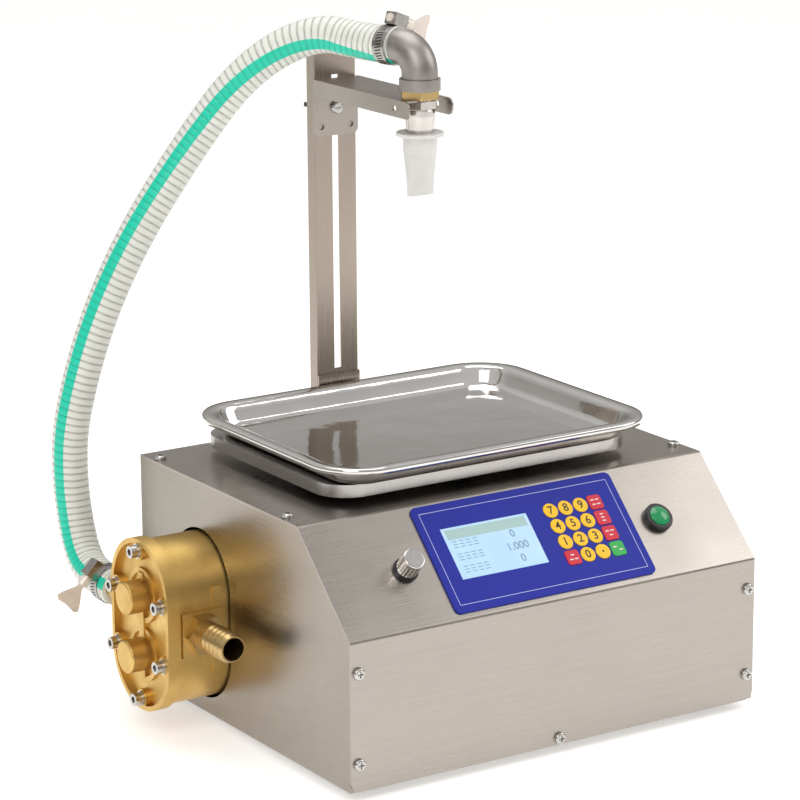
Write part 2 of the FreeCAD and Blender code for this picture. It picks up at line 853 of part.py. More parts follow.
def gear_shape(turn):
    """A spur gear whose flanks are involutes, standing on z = 0."""
    module = float(size("gear_module"))
    teeth = int(float(size("gear_teeth")))
    pressure = math.radians(25)
    pitch = module * teeth / 2
    base = pitch * math.cos(pressure)
    root = pitch - 1.1 * module
    backlash = 0.3

    def flank_angle(radius):
        roll = math.sqrt(max((radius / base) ** 2 - 1, 0))
        return roll - math.atan(roll)

    half_tooth = math.pi / (2 * teeth) - backlash / (4 * pitch)
    outline = []
    for tooth in range(teeth):
        middle = 2 * math.pi * tooth / teeth + math.radians(turn)
        radii = [max(base, root) + (tip_radius - max(base, root)) * step / 5 for step in range(6)]
        angles = [half_tooth + flank_angle(pitch) - flank_angle(radius) for radius in radii]
        rising = [(root, middle - angles[0])] + [(r, middle - a) for r, a in zip(radii, angles)]
        falling = [(r, middle + a) for r, a in zip(reversed(radii), reversed(angles))]
        outline += rising + falling + [(root, middle + angles[0])]
    points = [Vector(r * math.cos(a), r * math.sin(a), 0) for r, a in outline]
    face = Part.Face(Part.makePolygon(points + [points[0]]))
    return face.extrude(Vector(0, 0, float(size("gear_width"))))


gear_low = chamber_floor + 3 * float(size("gear_end_gap"))
half_pitch = 180 / float(size("gear_teeth"))
drive_gear = gear_shape(90)
drive_gear = drive_gear.cut(bar(shaft_radius, -1, float(size("gear_width")) + 1))
drive_gear.translate(Vector(0, shaft_ups["drive"], gear_low))
keep(made("drive_gear", drive_gear, pump_place), "drive_gear")

idler = gear_shape(270 + half_pitch)
idler.translate(Vector(0, shaft_ups["idler"], gear_low))
idler_low = bush_low + 0.5
idler_shaft = bar(shaft_radius, idler_low, cover_low + bush_length - 0.5, 0, shaft_ups["idler"])
keep(made("idler_gear", union([idler, idler_shaft]), pump_place), "idler_gear")

shaft_end = -48
drive_shaft = bar(shaft_radius, shaft_end, cover_low + bush_length - 0.5, 0, shaft_ups["drive"])
keep(made("drive_shaft", drive_shaft, pump_place), "drive_shaft")

bolts = []
for x, y in bolt_spots:
    washer = bar(6, cover_top, cover_top + 1.5, x, y)
    head_low = cover_top + 1.5
    head_high = head_low + float(size("bolt_head_length"))
    head = bar(float(size("bolt_head_radius")), head_low, head_high, x, y)
    socket = hexagon(5, 4, head_high - 3.5)
    socket.translate(Vector(x, y, 0))
    shank = bar(bolt_radius, pump_reach - 22, head_low, x, y)
    washer = washer.cut(bar(bolt_hole, cover_top - 1, head_low + 1, x, y))
    bolts += [head.cut(socket).fuse(shank).removeSplitter(), washer]
keep(made("pump_bolts", group(bolts), pump_place), "pump_bolts")


def hose_tail(start, end, pitch=6):
    """A barbed tube along Z: ridges that rise and drop back, over a stem."""
    ridge = float(size("barb_radius"))
    stem = float(size("barb_stem_radius"))
    outline = [Vector(0, 0, start), Vector(stem, 0, start)]
    count = int((end - start - 3) / pitch)
    for index in range(count):
        low = end - (count - index) * pitch
        outline += [Vector(stem, 0, low), Vector(ridge, 0, low + 0.3), Vector(ridge, 0, low + 1.8)]
    outline += [Vector(stem - 0.6, 0, end), Vector(0, 0, end), outline[0]]
    return Part.Face(Part.makePolygon(outline)).revolve(Vector(), Vector(0, 0, 1), 360)


def port_fitting(hex_high, neck_end, barb_end):
    """A screwed fitting: thread in the port, hexagon, then a hose tail."""
    shapes = [
        bar(thread_radius - 0.05, -thread_depth + 0.5, 0),
        hexagon(size("fitting_hex"), hex_high, 0),
        bar(float(size("barb_stem_radius")) + 0.6, hex_high, neck_end),
        hose_tail(neck_end, barb_end),
    ]
    bore = bar(float(size("barb_bore")) - 0.6, -thread_depth - 1, barb_end + 1)
    return union(shapes).cut(bore)


left_x = float(-half_width) - port_z
axis_z = float(size("pump_axis_z"))
pump_y = float(size("pump_axis_y"))
inlet_shape = port_fitting(8, 12, 47)
inlet_place = spot(left_x, pump_y - port_face, axis_z, AXIS_TURN["-y"])
keep(made("inlet_barb", inlet_shape, inlet_place), "inlet_barb")
outlet_shape = port_fitting(10, 44, 69)
outlet_place = spot(left_x, pump_y + port_face, axis_z, AXIS_TURN["y"])
keep(made("outlet_barb", outlet_shape, outlet_place), "outlet_barb")

# ---------------------------------------------------------------------------
# Drive: bracket, coupling, motor shaft and foot-mounted motor
# ---------------------------------------------------------------------------
bracket_thick = 6
bracket_x = float(-half_width) + pump_inner
drive_y = pump_y
drive_z = axis_z - shaft_offset
deck = float(deck_z)
bracket_top = axis_z + shaft_offset + 20
bracket_shape = Part.makeBox(bracket_thick, 90, bracket_top - deck, Vector(bracket_x, drive_y - 45, deck))
bracket_shape = bracket_shape.fuse(Part.makeBox(40, 90, 5, Vector(bracket_x, drive_y - 45, deck)))
shaft_hole = Part.makeCylinder(11, 30, Vector(bracket_x - 10, drive_y, drive_z), Vector(1, 0, 0))
bracket_shape = bracket_shape.cut(shaft_hole).removeSplitter()
keep(made("pump_bracket", bracket_shape), "pump_bracket")

shaft_tip = float(-half_width) - shaft_end
motor_face = shaft_tip + 26
coupling_from = shaft_tip - 20
coupling = Part.makeCylinder(15, 40, Vector(coupling_from, drive_y, drive_z), Vector(1, 0, 0))
hole_from = Vector(coupling_from - 5, drive_y, drive_z)
coupling_hole = Part.makeCylinder(shaft_radius, 60, hole_from, Vector(1, 0, 0))
jaw_gap = Part.makeBox(1.2, 40, 40, Vector(shaft_tip - 0.6, drive_y - 20, drive_z - 20))
spider_core = Part.makeCylinder(12, 6, Vector(shaft_tip - 3, drive_y, drive_z), Vector(1, 0, 0))
coupling = coupling.cut(jaw_gap).fuse(spider_core).cut(coupling_hole).removeSplitter()
motor_shaft = Part.makeCylinder(shaft_radius, 42, Vector(shaft_tip + 1, drive_y, drive_z), Vector(1, 0, 0))
keep(made("motor_coupling", group([coupling, motor_shaft])), "motor_coupling")

motor_radius = float(size("motor_radius"))
motor_length = float(size("motor_length"))
x_axis = Vector(1, 0, 0)
motor_pieces = [
    Part.makeCylinder(motor_radius, motor_length, Vector(motor_face, drive_y, drive_z), x_axis),
    Part.makeCylinder(17, 6, Vector(motor_face - 4, drive_y, drive_z), x_axis),
    Part.makeBox(90, 76, drive_z - deck, Vector(motor_face + 15, drive_y - 38, deck)),
]
for turn in range(16):
    angle = math.radians(22.5 * turn)
    fin = Part.makeBox(motor_length * 0.6, 2, 4, Vector(motor_face + 35, -1, motor_radius - 1))
    fin.rotate(Vector(), x_axis, 22.5 * turn)
    fin.translate(Vector(0, drive_y, drive_z))
    motor_pieces.append(fin)
bore_from = Vector(motor_face - 10, drive_y, drive_z)
motor_bore = Part.makeCylinder(shaft_radius + running, 50, bore_from, x_axis)
keep(made("drive_motor", union(motor_pieces).cut(motor_bore)), "drive_motor")

# ---------------------------------------------------------------------------
# Column behind the casing, its foot, and the nozzle arm that slides on it
# ---------------------------------------------------------------------------
web = size("column_wall")
half_column = size("column_width") / 2
depth = size("column_depth")
channel_profile = [
    (-half_column, 0),
    (half_column, 0),
    (half_column, depth),
    (half_column - web, depth),
    (half_column - web, web),
    (web - half_column, web),
    (web - half_column, depth),
    (-half_column, depth),
]
column_front = back + size("foot_plate")
column_length = size("column_top") - size("column_bottom")
body = new_body("channel")
pad = prism(body, "XY_Plane", channel_profile, column_length, midplane=False)
column_edges = [(half_column * side, 0, column_length / 2) for side in (-1, 1)]
round_edges(body, pad, column_edges, 1.2)
move(body, 0, column_front, size("column_bottom"))
lip_y = column_front + depth / 2
lip = box("column_lip", size("column_width") - 2, depth - 1, web, 0, lip_y, size("column_top") - web)
slot_length = size("column_top") - size("slot_bottom") - 18
slot_width = (size("clamp_bolt_radius") + size("slot_gap")) * 2
slot = box("column_slot", slot_width, depth - 1, slot_length, 0, column_front, size("slot_bottom"))
column_screw_holes = [
    rod("column_screw_hole", size("screw_radius") + size("screw_gap"), 40, x, back - 10, z, "y")
    for x, z in column_spots
]
column_tool = fuse("column_cuts", slot, *column_screw_holes)
keep(cut("column", fuse("column_solid", body, lip), column_tool), "column")

foot_block = box(
    "foot_block",
    size("column_width"),
    size("foot_plate"),
    size("slot_bottom") - 4 - size("column_bottom"),
    0,
    back + size("foot_plate") / 2,
    size("column_bottom"),
)
foot_holes = [
    rod("foot_hole", size("screw_radius") + size("screw_gap"), 40, x, back - 10, z, "y")
    for x, z in column_spots
]
keep(cut("column_foot", foot_block, fuse("foot_holes", *foot_holes)), "column_foot")

arm_wall = size("arm_wall")
plate_front = column_front - arm_wall
arm_top = size("arm_top")
arm_low = arm_top - size("arm_flange")
plate_low = arm_top - size("plate_height")
arm_end = nozzle_y - size("arm_nose")
arm_profile = [
    (column_front, plate_low),
    (column_front, arm_top),
    (arm_end, arm_top),
    (arm_end, arm_low),
    (plate_front, arm_low),
    (plate_front, plate_low),
]
body = new_body("arm_body")
pad = prism(body, "YZ_Plane", arm_profile, size("arm_width"))
arm_inside = [
    (plate_front, arm_low - 10),
    (plate_front, arm_top - arm_wall),
    (arm_end - 5, arm_top - arm_wall),
    (arm_end - 5, arm_low - 10),
]
prism(body, "YZ_Plane", arm_inside, size("arm_width") - arm_wall * 2, kind="Pocket")
web_end = arm_end + 7
arm_mouth = [
    (web_end, arm_low - 10),
    (web_end, arm_top + 5),
    (arm_end - 5, arm_top + 5),
    (arm_end - 5, arm_low - 10),
]
mouth = prism(body, "YZ_Plane", arm_mouth, size("arm_width") - arm_wall * 2, kind="Pocket")
flange_middle = (size("arm_width") - arm_wall) / 2
rounded_corners = [
    (flange_middle * side, arm_end, height) for side in (-1, 1) for height in (arm_top, arm_low)
]
tips = round_edges(body, mouth, rounded_corners, size("arm_flange") * 0.4)
plate_middle = column_front - arm_wall / 2
plate_corners = [(size("arm_width") / 2 * side, plate_middle, plate_low) for side in (-1, 1)]
plates = round_edges(body, tips, plate_corners, 5)
round_edges(body, plates, [(0, column_front, arm_top)], 2.5)
bolt_z = size("clamp_bolt_z")
flange_middle_z = arm_top - size("arm_flange") / 2
arm_holes = [
    rod("thread_hole", size("nozzle_thread") + 0.1, 20, 0, nozzle_y, arm_top - 8),
    rod("flange_hole", 2.6, size("arm_width") + 20, -30, nozzle_y + 5, flange_middle_z, "x"),
    rod("bolt_hole", size("clamp_bolt_radius") + 0.1, 20, 0, back - 10, bolt_z, "y"),
    rod("left_plate_hole", 2.6, 20, -14, back - 10, plate_low + 8, "y"),
    rod("right_plate_hole", 2.6, 20, 14, back - 10, plate_low + 8, "y"),
]
keep(cut("nozzle_arm", body, fuse("arm_holes", *arm_holes)), "nozzle_arm")

clamp_radius = float(size("clamp_bolt_radius"))
bolt_front = float(plate_front)
bolt_back = float(column_front) + 27
clamp_height = float(bolt_z)
head = Part.makeCylinder(5.2, 3.2, Vector(0, bolt_front - 3.2, clamp_height), Vector(0, 1, 0))
rim = [edge for edge in head.Edges if edge.BoundBox.YMax < bolt_front - 3.1]
head = head.makeFillet(1.6, rim)
slit = Part.makeBox(5.4, 1.6, 1.3, Vector(-2.7, bolt_front - 3.3, clamp_height - 0.65))
shank_start = Vector(0, bolt_front, clamp_height)
shank = Part.makeCylinder(clamp_radius, bolt_back - bolt_front, shank_start, Vector(0, 1, 0))
keep(made("clamp_bolt", head.cut(slit).fuse(shank).removeSplitter()), "clamp_bolt")

nut_boss = Part.makeCone(8, 5.5, 16)
wing_outline = [
    Vector(0, 0, 11),
    Vector(6, 0, 12),
    Vector(14, 0, 15),
    Vector(15, 0, 23),
    Vector(12.5, 0, 26),
    Vector(8, 0, 21),
    Vector(4, 0, 16),
    Vector(0, 0, 15),
]
wing_face = Part.Face(Part.makePolygon(wing_outline + [wing_outline[0]]))
wing = wing_face.extrude(Vector(0, 3, 0))
wing.translate(Vector(0, -1.5, 0))
other_wing = wing.copy()
other_wing.rotate(Vector(), Vector(0, 0, 1), 180)
nut_shape = union([nut_boss, wing, other_wing])
nut_shape = nut_shape.cut(bar(clamp_radius + running, -1, 40))
nut_place = spot(0, column_front + web + 0.1, bolt_z, Rotation(Vector(0, 0, 1), Vector(0, 1, 0)))
keep(made("wing_nut", nut_shape, nut_place), "wing_nut")

# ---------------------------------------------------------------------------
# Nozzle: locknut, steel nozzle body, soft duckbill, cast elbow with hose tail
# ---------------------------------------------------------------------------
arm_top_z = float(arm_top)
web_low = arm_top_z - float(arm_wall)
nozzle_place = spot(0, nozzle_y, 0)
thread = float(size("nozzle_thread"))
locknut_top = arm_top_z + float(size("locknut_height"))
locknut = hexagon(size("locknut_hex"), size("locknut_height"), arm_top_z)
chamfer_cone = Part.makeCone(16, 18, locknut_top - arm_top_z + 1, Vector(0, 0, arm_top_z - 0.5))
locknut = locknut.common(chamfer_cone)
locknut = locknut.cut(bar(thread, arm_top_z - 1, locknut_top + 1))
keep(made("brass_locknut", locknut, nozzle_place), "brass_locknut")

hex_low = web_low - 6
polish_low = hex_low - 19.5
spigot = float(size("spigot_radius"))
bore = float(size("nozzle_bore"))
spigot_low = polish_low - 16
thread_top = locknut_top + 8
nozzle_profile = [
    (bore, spigot_low),
    (spigot - 0.8, spigot_low),
    (spigot, spigot_low + 1),
    (spigot, polish_low),
    (spigot + 0.4, polish_low + 1),
    (11.9, hex_low - 6),
    (11.9, hex_low - 1.5),
    (11, hex_low),
    (thread, hex_low),
    (thread, thread_top),
    (bore, thread_top),
]
nozzle_core = turned("nozzle_turned", nozzle_profile)
move(nozzle_core, 0, nozzle_y, 0)
nozzle_nut = hexagon(size("nozzle_hex"), web_low - hex_low, hex_low)
nozzle_nut = nozzle_nut.cut(bar(bore + 1, hex_low - 1, web_low + 1))
keep(fuse("nozzle_solid", nozzle_core, made("nozzle_nut", nozzle_nut, nozzle_place)), "nozzle_body")

flange_top = polish_low
flange_low = flange_top - 2.5
tube_low = spigot_low - 0.6
bill_low = tube_low - 34
bill_profile = [
    (spigot, flange_top),
    (19, flange_top),
    (19, flange_low),
    (13.6, flange_low),
    (13.6, tube_low + 1.5),
    (13, tube_low),
    (11.6, tube_low),
    (spigot, tube_low + 0.6),
]


def oval(half_wide, half_thick, z):
    if abs(half_wide - half_thick) < 0.001:
        return Part.Wire(Part.makeCircle(half_wide, Vector(0, 0, z)))
    curve = Part.Ellipse(Vector(0, 0, z), half_wide, half_thick)
    return Part.Wire(curve.toShape())


collar_points = [Vector(radius, 0, z) for radius, z in bill_profile]
collar_face = Part.Face(Part.makePolygon(collar_points + [collar_points[0]]))
collar = collar_face.revolve(Vector(), Vector(0, 0, 1), 360)
outer_bill = Part.makeLoft([oval(13, 13, tube_low), oval(12.4, 1.9, bill_low)], True, True)
inner_bill = Part.makeLoft([oval(11.6, 11.6, tube_low + 0.2), oval(10.8, 0.6, bill_low - 0.2)], True, True)
duckbill = union([collar, outer_bill.cut(inner_bill)])
keep(made("duckbill_valve", duckbill, nozzle_place), "duckbill_valve")

elbow_axis = float(size("elbow_axis_z"))
elbow_bend = size("elbow_bend")
bend_turn = Rotation(Vector(0, -1, 0), Vector(0, 0, 1), Vector(-1, 0, 0), "XYZ")


def quarter(name, radius):
    ring = document.addObject("Part::Torus", name)
    bind(ring, Radius1=elbow_bend, Radius2=radius)
    ring.Angle3 = 90
    ring.Placement = Placement(Vector(), bend_turn)
    return move(ring, 0, elbow_bend, size("elbow_axis_z") - elbow_bend)


leg_height = size("elbow_axis_z") - elbow_bend - arm_top - size("locknut_height")
collar_height = 9
leg_low = arm_top + size("locknut_height")
elbow_leg = rod("elbow_leg", size("elbow_radius"), leg_height, 0, 0, leg_low)
elbow_collar = rod("elbow_collar", size("elbow_radius") + 2.1, collar_height, 0, 0, leg_low)
elbow_mouth = rod("elbow_mouth", size("elbow_radius"), 2.5, 0, elbow_bend, size("elbow_axis_z"), "y")
tail_start = float(elbow_bend) + 2
tail_place = spot(0, 0, elbow_axis, AXIS_TURN["y"])
elbow_tail = made("elbow_tail", hose_tail(tail_start, tail_start + 26), tail_place)
elbow_curve = quarter("elbow_curve", size("elbow_radius"))
elbow_outer = fuse("elbow_outer", elbow_leg, elbow_collar, elbow_curve, elbow_mouth, elbow_tail)
elbow_bore = fuse(
    "elbow_bore",
    rod("elbow_thread_bore", size("nozzle_thread") + 0.02, leg_height, 0, 0, leg_low - 0.5),
    quarter("elbow_curve_bore", size("barb_bore") - 1),
    rod("elbow_tail_bore", size("barb_bore") - 1, 60, 0, elbow_bend, size("elbow_axis_z"), "y"),
)
elbow = cut("elbow_solid", elbow_outer, elbow_bore)
elbow_turn = Rotation(Vector(0, 0, 1), float(size("elbow_turn")))
elbow.Placement = spot(0, nozzle_y, 0, elbow_turn)
keep(elbow, "elbow")

# ---------------------------------------------------------------------------
# Hose and its two worm clamps
# ---------------------------------------------------------------------------
hose_away = elbow_turn.multVec(Vector(0, 1, 0))
nozzle_head = Vector(0, float(nozzle_y), elbow_axis)
hose_top = nozzle_head + hose_away * (tail_start + 1)
hose_top_bend = nozzle_head + hose_away * 66
hose_low = Vector(left_x, pump_y + port_face + 48, axis_z)
hose_route = [
    hose_low,
    Vector(left_x, 196, axis_z),
    Vector(left_x, 217, 103),
    Vector(left_x, 229, 130),
    Vector(-217, 232, 165),
    Vector(-217, 230, 205),
    Vector(-209, 225, 247),
    Vector(-198, 220, 287),
    Vector(-183, 214, 327),
    Vector(-163, 207, 368),
    Vector(-139, 198, 409),
    Vector(-114, 187, 449),
    Vector(-90, 171, 488),
    Vector(-62, 151, 517),
    Vector(-34, 126, 532),
    hose_top_bend,
    hose_top,
]


def route_wire(points):
    """Straight runs joined by arcs that touch both runs."""
    edges = []
    last = points[0]
    for before, corner, after in zip(points, points[1:], points[2:]):
        arriving = (corner - before).normalize()
        leaving = (after - corner).normalize()
        half_turn = arriving.getAngle(leaving) / 2
        reach = 0.45 * min((corner - before).Length, (after - corner).Length)
        start = corner - arriving * reach
        end = corner + leaving * reach
        inward = (leaving - arriving).normalize()
        radius = reach / math.tan(half_turn)
        middle = corner + inward * (radius / math.cos(half_turn) - radius)
        edges.append(Part.makeLine(last, start))
        edges.append(Part.Arc(start, middle, end).toShape())
        last = end
    edges.append(Part.makeLine(last, points[-1]))
    return Part.Wire(edges)


def tube_along(wire, radius):
    start = wire.Vertexes[0].Point
    heading = hose_route[1] - hose_route[0]
    section = Part.Wire(Part.makeCircle(radius, start, heading))
    return wire.makePipeShell([section], True, True)


hose_line = route_wire(hose_route)
hose = tube_along(hose_line, hose_radius)
hose = hose.cut(tube_along(hose_line, hose_bore))
section_area = math.pi * (hose_radius ** 2 - hose_bore ** 2)
if abs(hose.Volume / (section_area * hose_line.Length) - 1) > 0.02:
    raise ValueError("the hose's volume doesn't match its length")
keep(made("hose", hose), "hose")


def worm_clamp(centre, along, outward):
    """Band with its worm housing, and the screw with its wing, as two shapes."""
    frame = Rotation(Vector(), outward, along, "ZYX")
    place = Placement(centre, frame)
    wide = float(size("clamp_width"))
    inner = hose_radius + float(size("clamp_gap"))
    outer = inner + float(size("clamp_band"))
    screw = 3.4
    lift = outer + screw + 1.2
    band = bar(outer, -wide / 2, wide / 2).cut(bar(inner, -wide, wide))
    housing_depth = lift + screw + 1.2 - inner
    housing = Part.makeBox(15, housing_depth, wide - 1, Vector(-7.5, inner + 0.3, 0.5 - wide / 2))
    housing = housing.cut(bar(inner + 0.2, -wide, wide))
    screw_way = Part.makeCylinder(screw + running, 40, Vector(-20, lift, 0), Vector(1, 0, 0))
    housing = housing.cut(screw_way)
    worm = Part.makeCylinder(screw, 18, Vector(-9, lift, 0), Vector(1, 0, 0))
    head = Part.makeCylinder(4.6, 7, Vector(9, lift, 0), Vector(1, 0, 0))
    wing_points = [(15, -2.5), (19, -3), (31, -11), (35, -12.5), (37, -9), (36, 0)]
    outline = [Vector(x, lift + y, -0.7) for x, y in wing_points]
    outline += [Vector(x, lift - y, -0.7) for x, y in reversed(wing_points[:-1])]
    wing = Part.Face(Part.makePolygon(outline + [outline[0]])).extrude(Vector(0, 0, 1.4))
    band_shape = union([band, housing])
    screw_shape = union([worm, head, wing])
    return placed(band_shape, place), placed(screw_shape, place)


lower_out = Vector(-1, 0, 1).normalize()
lower_centre = Vector(left_x, pump_y + port_face + 62, axis_z)
lower_band, lower_screw = worm_clamp(lower_centre, Vector(0, 1, 0), lower_out)
keep(made("lower_clamp_band", lower_band), "lower_clamp_band")
keep(made("lower_clamp_screw", lower_screw), "lower_clamp_screw")

sideways = elbow_turn.multVec(Vector(1, 0, 0))
upper_out = sideways * math.sin(math.radians(20)) + Vector(0, 0, 1) * math.cos(math.radians(20))
upper_centre = nozzle_head + hose_away * (tail_start + 9)
upper_band, upper_screw = worm_clamp(upper_centre, hose_away * -1, upper_out)
keep(made("upper_clamp_band", upper_band), "upper_clamp_band")
keep(made("upper_clamp_screw", upper_screw), "upper_clamp_screw")

# ---------------------------------------------------------------------------
# Control panel on the slope
# ---------------------------------------------------------------------------
overlay_thick = float(size("overlay_thick"))
key_pitch = float(size("key_pitch"))
key_radius = float(size("key_radius"))
key_gap = float(size("key_gap"))
key_names = [
    ["key_7", "key_8", "key_9", "key_red_top"],
    ["key_4", "key_5", "key_6", "key_red_middle"],
    ["key_1", "key_2", "key_3", "key_red_low"],
    ["key_red_left", "key_0", "key_point", "key_green"],
]
square_keys = [name for line in key_names for name in line if "red" in name or "green" in name]


def rounded_block(width, depth, corner, low, high, x=0, y=0):
    shape = block(width, depth, low, high, x, y)
    uprights = [edge for edge in shape.Edges if edge.BoundBox.ZLength > (high - low) * 0.9]
    return shape.makeFillet(corner, uprights)


def key_solid(name, low, high, x, up, grow=0.0):
    radius = key_radius + grow
    if name in square_keys:
        return rounded_block(2 * radius, 2 * radius, 2.6 + grow, low, high, x, up)
    return bar(radius, low, high, x, up)


key_places = {
    name: (key_corner_x + column * key_pitch, key_corner_up - line * key_pitch)
    for line, names in enumerate(key_names)
    for column, name in enumerate(names)
}
panel_place = on_slope(0, 0)
overlay = rounded_block(
    panel_half * 2,
    float(size("overlay_length")),
    float(size("overlay_corner")),
    0,
    overlay_thick,
    panel_x,
    panel_up,
)
lcd_width = float(size("lcd_width"))
lcd_length = float(size("lcd_length"))
openings = [block(lcd_width + lcd_gap, lcd_length + lcd_gap, -1, 5, lcd_x, lcd_up)]
openings += [key_solid(name, -1, 5, x, up, key_gap) for name, (x, up) in key_places.items()]
keep(made("keypad_overlay", overlay.cut(openings), panel_place), "keypad_overlay")

key_low = float(size("key_travel")) + 0.1
key_high = overlay_thick + float(size("key_proud"))
for name, (x, up) in key_places.items():
    key = key_solid(name, key_low, key_high, x, up)
    crown = [edge for edge in key.Edges if edge.BoundBox.ZMin > key_high - 0.01]
    keep(made(name, key.makeFillet(0.35, crown), panel_place), name)

sheet_thick = float(wall)
bezel_low = -sheet_thick - 8
lcd = block(lcd_width, lcd_length, -sheet_thick - 1, overlay_thick - 0.4, lcd_x, lcd_up)
lcd = lcd.fuse(block(lcd_width + 18, lcd_length + 14, bezel_low, -sheet_thick, lcd_x, lcd_up))
keep(made("lcd_module", lcd.removeSplitter(), panel_place), "lcd_module")

board_low = bezel_low - 1.6
board_up = panel_up - 2
board = block(150, 78, board_low, bezel_low, 0, board_up)
chips = [
    block(16, 16, board_low - 2.5, board_low, -20, board_up),
    block(24, 9, board_low - 3.5, board_low, 18, board_up + 12),
    block(30, 12, board_low - 12, board_low, 45, board_up - 22),
    bar(5, board_low - 14, board_low, -50, board_up + 20),
]
keep(made("control_board", union([board] + chips), panel_place), "control_board")

knob_place = on_slope(knob_x, knob_up)
knob_radius = float(size("knob_radius"))
ring_top = 2.2
knob_top = ring_top + float(size("knob_height"))
knob = bar(knob_radius, ring_top + 0.2, knob_top)
knob_crown = [edge for edge in knob.Edges if edge.BoundBox.ZMin > knob_top - 0.1]
knob = knob.makeFillet(1.2, knob_crown)
flutes = [bar(0.9, ring_top + 2.5, knob_top - 2.5) for _ in range(20)]
for index, flute in enumerate(flutes):
    angle = math.radians(18 * index)
    reach = knob_radius + 0.35
    flute.translate(Vector(reach * math.cos(angle), reach * math.sin(angle), 0))
pot_shaft_radius = float(size("pot_shaft_radius"))
shaft_in_knob = ring_top + 11
knob = knob.cut(flutes + [bar(pot_shaft_radius, ring_top, shaft_in_knob)])
mark = block(1, knob_radius - 2, knob_top - 0.4, knob_top + 0.1, 0, knob_radius / 2)
knob_shaft = bar(pot_shaft_radius, -9, shaft_in_knob)
keep(made("speed_knob", group([knob.cut(mark), knob_shaft]), knob_place), "speed_knob")
pot = union(
    [
        bar(10.2, 0, ring_top),
        bar(3.95, -sheet_thick, ring_top),
        bar(12, -sheet_thick - 9.5, -sheet_thick),
    ]
)
pot = pot.cut(bar(pot_shaft_radius + running, -9.2, ring_top + 1))
keep(made("potentiometer", pot, knob_place), "potentiometer")

button_place = on_slope(button_x, button_up)
cap_radius = float(size("button_radius"))
bezel_radius = float(size("button_bezel_radius"))
travel = float(size("button_travel"))
bezel = bar(bezel_radius, 0, 5)
bezel_rim = [edge for edge in bezel.Edges if edge.BoundBox.ZMin > 4.9]
bezel = bezel.makeFillet(1.4, bezel_rim)
cap_low = -4
button_shell = union(
    [
        bezel,
        bar(9.5, -26, 0),
        bar(bezel_radius, -sheet_thick - 3, -sheet_thick),
        block(10, 4, -32, -26),
    ]
)
button_shell = button_shell.cut(bar(cap_radius + running, cap_low - travel - 0.3, 6))
keep(made("start_button_body", button_shell, button_place), "start_button_body")
cap = bar(cap_radius, cap_low, 5.6)
dome_height = 2.6
dome_radius = (cap_radius ** 2 + dome_height ** 2) / (2 * dome_height)
dome = Part.makeSphere(dome_radius, Vector(0, 0, 5.6 + dome_height - dome_radius)).common(
    bar(cap_radius, 5.6, 5.6 + dome_height + 1)
)
keep(made("start_button_cap", union([cap, dome]), button_place), "start_button_cap")

# ---------------------------------------------------------------------------
# Mains inlet on the rear panel
# ---------------------------------------------------------------------------
inlet_centre = Vector(inlet_x, rear_y, inlet_z)
half_inlet = inlet_height / 2
inlet_flange = 4
module = block(inlet_width, 32, -half_inlet, half_inlet, 0, -16)
flange = block(
    inlet_width + inlet_flange * 2,
    3,
    -half_inlet - inlet_flange,
    half_inlet + inlet_flange,
    0,
    1.5,
)
socket = block(25, 20, -8.5, 8.5, 0, -6)
pins = [block(2, 13, rise - 2.5, rise + 2.5, x, -10) for x, rise in ((-7, -2), (0, 3), (7, -2))]
module = union([module.fuse(flange).cut(socket)] + pins)
inlet_place = Placement(inlet_centre, Rotation())
keep(made("power_inlet", module, inlet_place), "power_inlet")

# ---------------------------------------------------------------------------
# Checks, then one file for each piece
# ---------------------------------------------------------------------------
document.recompute()
for thing in document.Objects:
    if "Invalid" in thing.State or "Error" in thing.State:
        raise ValueError("%s (%s) failed to build: %s" % (thing.Name, thing.Label, thing.State))
for thing in nodes:
    if thing.Shape.isNull() or not thing.Shape.isValid() or not thing.Shape.Solids:
        raise ValueError("%s has no valid shape" % thing.Label)
os.makedirs("parts", exist_ok=True)
for thing in nodes:
    thing.Shape.exportStep(os.path.join("parts", thing.Label + ".step"))
print("%d pieces written" % len(nodes))
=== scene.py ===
import math

import bmesh
import bpy
from mathutils import Matrix, Vector


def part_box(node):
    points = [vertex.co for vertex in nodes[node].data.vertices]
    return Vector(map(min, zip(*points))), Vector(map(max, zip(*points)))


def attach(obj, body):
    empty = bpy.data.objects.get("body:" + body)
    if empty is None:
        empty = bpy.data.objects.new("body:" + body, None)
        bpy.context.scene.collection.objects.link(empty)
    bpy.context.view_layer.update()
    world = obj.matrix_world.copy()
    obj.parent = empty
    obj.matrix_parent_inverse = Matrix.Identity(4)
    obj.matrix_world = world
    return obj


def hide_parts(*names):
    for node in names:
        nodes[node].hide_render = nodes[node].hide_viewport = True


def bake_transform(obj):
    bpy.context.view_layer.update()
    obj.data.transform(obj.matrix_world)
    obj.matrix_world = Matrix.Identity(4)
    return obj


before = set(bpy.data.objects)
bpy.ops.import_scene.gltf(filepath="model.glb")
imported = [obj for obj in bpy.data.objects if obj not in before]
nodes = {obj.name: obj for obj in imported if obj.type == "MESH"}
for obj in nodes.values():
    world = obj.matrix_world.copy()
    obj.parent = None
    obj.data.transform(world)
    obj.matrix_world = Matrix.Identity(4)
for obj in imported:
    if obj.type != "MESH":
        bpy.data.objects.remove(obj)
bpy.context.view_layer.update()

# ---------------------------------------------------------------------------
# Camera
# It looks from the front left, a little above the tray, through a long lens.
# ---------------------------------------------------------------------------
azimuth = math.radians(-32.786)
elevation = math.radians(14.572)
roll = math.radians(-0.377)
camera_back = Vector(
    (
        math.sin(azimuth) * math.cos(elevation),
        -math.cos(azimuth) * math.cos(elevation),
        math.sin(elevation),
    )
)
level_right = (-camera_back).cross(Vector((0, 0, 1))).normalized()
level_up = level_right.cross(-camera_back)
